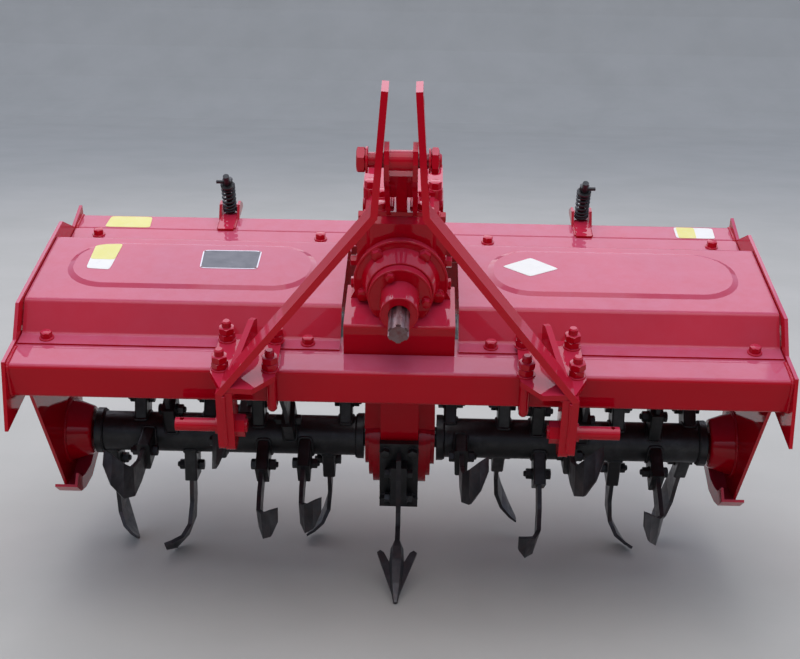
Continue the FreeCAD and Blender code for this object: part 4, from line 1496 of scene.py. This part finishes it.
@dataclass
class Springs:
    """Coil springs on the two rods, with a nut on top and a washer under each."""

    seat_share: float = 0.96
    nut_gap: float = 0.0045
    flats: float = 0.018
    nut: float = 0.0065
    washer: tuple[float, float, float] = (0.0125, -0.0085, -0.0062)
    end_quarters: tuple[float, float] = (25, 75)

    def build(self, shop: Workshop) -> None:
        """Replace each plain sleeve by a wound spring between the sleeve's ends."""
        loose = Workshop(Parking(0.0, 0.0, 0.0), shop.finishes, shop.nodes)
        black = shop.finishes.black
        for side in Side:
            foot, head = self.ends(shop.nodes[f"spring_{side.label}"].data)
            body = f"rod_{side.label}"
            coil = CoilSpring().mesh(foot, head)
            made = loose.piece(f"coil_spring_{side.label}", coil, black, body, ROUND_ANGLE)
            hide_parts(f"spring_{side.label}")
            way = (head - foot) / np.linalg.norm(head - foot)
            seat = head + way * self.nut_gap
            nut = hex_block(self.flats, 0.0, self.nut, seat, way, phase=0.4, both=True)
            loose.piece(f"rod_nut_{side.label}", joined([nut, washer(*self.washer, foot, way)]), black, body)

    def ends(self, data: bpy.types.Mesh) -> tuple[np.ndarray, np.ndarray]:
        """Seats of a spring on the axis of its plain sleeve, just inside the sleeve's ends.

        Args:
            data: the sleeve's mesh, taller than it is wide.

        Returns:
            Lower and upper seat.
        """
        co = np.zeros(len(data.vertices) * 3, np.float32)
        data.vertices.foreach_get("co", co)
        co = co.reshape(-1, 3).astype(float)
        z = co[:, 2]
        low, high = np.percentile(z, self.end_quarters)
        way = co[z > high].mean(axis=0) - co[z < low].mean(axis=0)
        way /= np.linalg.norm(way)
        middle = co.mean(axis=0)
        reach = (co - middle) @ way
        return middle + way * reach.min() * self.seat_share, middle + way * reach.max() * self.seat_share


@dataclass(frozen=True)
class SoftLamp:
    """Round area lamp: name, place, width in metres, watts and tint."""

    name: str
    place: tuple[float, float, float]
    size: float
    power: float
    tint: RGB


@dataclass
class Studio:
    """Floor, soft light and the photograph's camera."""

    parking: Parking
    focal_px: float = 1331.56
    frame_px: tuple[int, int] = (800, 659)
    sensor: float = 36.0
    nearest: float = 0.05
    place: tuple[float, float, float] = (0.03419, -2.46273, 0.81693)
    pitch: float = 13.76
    yaw: float = -0.89
    roll: float = 1.00
    floor_x: tuple[float, float, int] = (-9.0, 9.0, 37)
    floor_y: tuple[float, float, int] = (-6.0, 14.0, 61)
    floor_turn: float = 9.0
    floor_rise: float = 0.35
    sky: RGB = (0.82, 0.92, 1.20)
    sky_levels: tuple[tuple[str, tuple[float, ...]], ...] = (
        ("Z", (0.10, 0.34, 0.16, 0.92)), ("Y", (-0.9, 0.7, 0.90, 1.06)))
    lit: tuple[float, float, float] = (0.0, 0.0, 0.45)
    lamps: tuple[SoftLamp, ...] = (
        SoftLamp("sky", (-0.4, 2.9, 3.9), 4.6, 88.0, (1.0, 0.97, 1.02)),
        SoftLamp("zenith", (0.0, -1.7, 4.4), 4.0, 84.0, (1.0, 0.97, 0.93)))

    def build(self) -> None:
        """Make floor, sky, lamps and camera."""
        self.floor()
        self.overcast()
        for lamp in self.lamps:
            self.light(lamp)
        self.camera()

    def floor(self) -> None:
        """Large floor at the ground level, as a gently curved-up sheet at the back."""
        u, v = np.linspace(*self.floor_x), np.linspace(*self.floor_y)
        uu, vv = np.meshgrid(u, v, indexing="ij")
        rise = np.maximum(vv - self.floor_turn, 0.0) ** 2 * self.floor_rise
        points = np.stack([uu, vv, rise], axis=-1).reshape(-1, 3)
        data = bpy.data.meshes.new("floor")
        data.from_pydata(points.tolist(), [], grid_faces(len(u), len(v), False)[:, ::-1].tolist())
        obj = bpy.data.objects.new("floor", data)
        bpy.context.scene.collection.objects.link(obj)
        data.materials.append(YardFloor().build())

    def overcast(self) -> None:
        """Overcast sky: a world that brightens from the horizon up and dims a little towards the back."""
        world = bpy.data.worlds.new("soft_sky")
        bpy.context.scene.world = world
        world.use_nodes = True
        tree = world.node_tree
        back = tree.nodes["Background"]
        where = tree.nodes.new("ShaderNodeTexCoord")
        split = tree.nodes.new("ShaderNodeSeparateXYZ")
        tree.links.new(where.outputs["Generated"], split.inputs[0])
        product = tree.nodes.new("ShaderNodeMath")
        product.operation = "MULTIPLY"
        for (axis, levels), target in zip(self.sky_levels, product.inputs):
            tree.links.new(map_range(tree, split.outputs[axis], levels), target)
        tree.links.new(product.outputs[0], back.inputs["Strength"])
        back.inputs["Color"].default_value = (*self.sky, 1.0)

    def light(self, lamp: SoftLamp) -> None:
        """Hang one lamp and aim it at the tiller's middle.

        Args:
            lamp: its place, size, power and tint.
        """
        light = bpy.data.lights.new(lamp.name, "AREA")
        light.shape = "DISK"
        light.size = lamp.size
        light.energy = lamp.power
        light.color = lamp.tint
        obj = bpy.data.objects.new(lamp.name, light)
        bpy.context.scene.collection.objects.link(obj)
        obj.location = lamp.place
        way = Vector(np.array(self.lit) - np.array(lamp.place))
        obj.rotation_euler = way.to_track_quat("-Z", "Y").to_euler()

    def camera(self) -> None:
        """Camera at the fitted place: pitch down, then yaw, then roll about the view direction."""
        t, w, r = (math.radians(a) for a in (self.pitch, self.yaw, self.roll))
        ahead = np.array([math.sin(w) * math.cos(t), math.cos(w) * math.cos(t), -math.sin(t)])
        right = np.array([math.cos(w), -math.sin(w), 0.0])
        down = np.cross(ahead, right)
        right_r = math.cos(r) * right - math.sin(r) * down
        down_r = math.sin(r) * right + math.cos(r) * down
        lens = bpy.data.cameras.new("photo_camera")
        lens.sensor_fit = "HORIZONTAL"
        lens.sensor_width = self.sensor
        lens.lens = self.sensor * self.focal_px / self.frame_px[0]
        lens.clip_start = self.nearest
        obj = bpy.data.objects.new("photo_camera", lens)
        bpy.context.scene.collection.objects.link(obj)
        x, y, z = self.place
        place = (x, y + self.parking.y, z + self.parking.z)
        rows = np.eye(4)
        rows[:3, 0], rows[:3, 1], rows[:3, 2], rows[:3, 3] = right_r, -down_r, -ahead, place
        obj.matrix_world = Matrix(rows.tolist())
        bpy.context.scene.camera = obj


def dress_nodes(shop: Workshop, record: dict) -> None:
    """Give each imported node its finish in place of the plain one."""
    for row in record["subparts"]:
        shop.dress(row["node"], Slot(row["material_slot"]))


def main() -> None:
    """Build the whole scene in order."""
    logging.basicConfig(level=logging.INFO, format="%(name)s %(message)s")
    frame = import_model()
    bpy.context.scene.view_settings.view_transform = "Standard"
    parking = Parking.from_joints(frame["joints"])
    shop = Workshop(parking, Finishes(), frame["nodes"])
    dress_nodes(shop, frame["record"])
    for assembly in (Hood(), GearCase(), Hitch(), Mast(), FrameSeams(), Rotor(), Share(), Springs()):
        assembly.build(shop)
        LOG.info("%s done", type(assembly).__name__)
    Studio(parking).build()


if __name__ == "__main__":
    main()
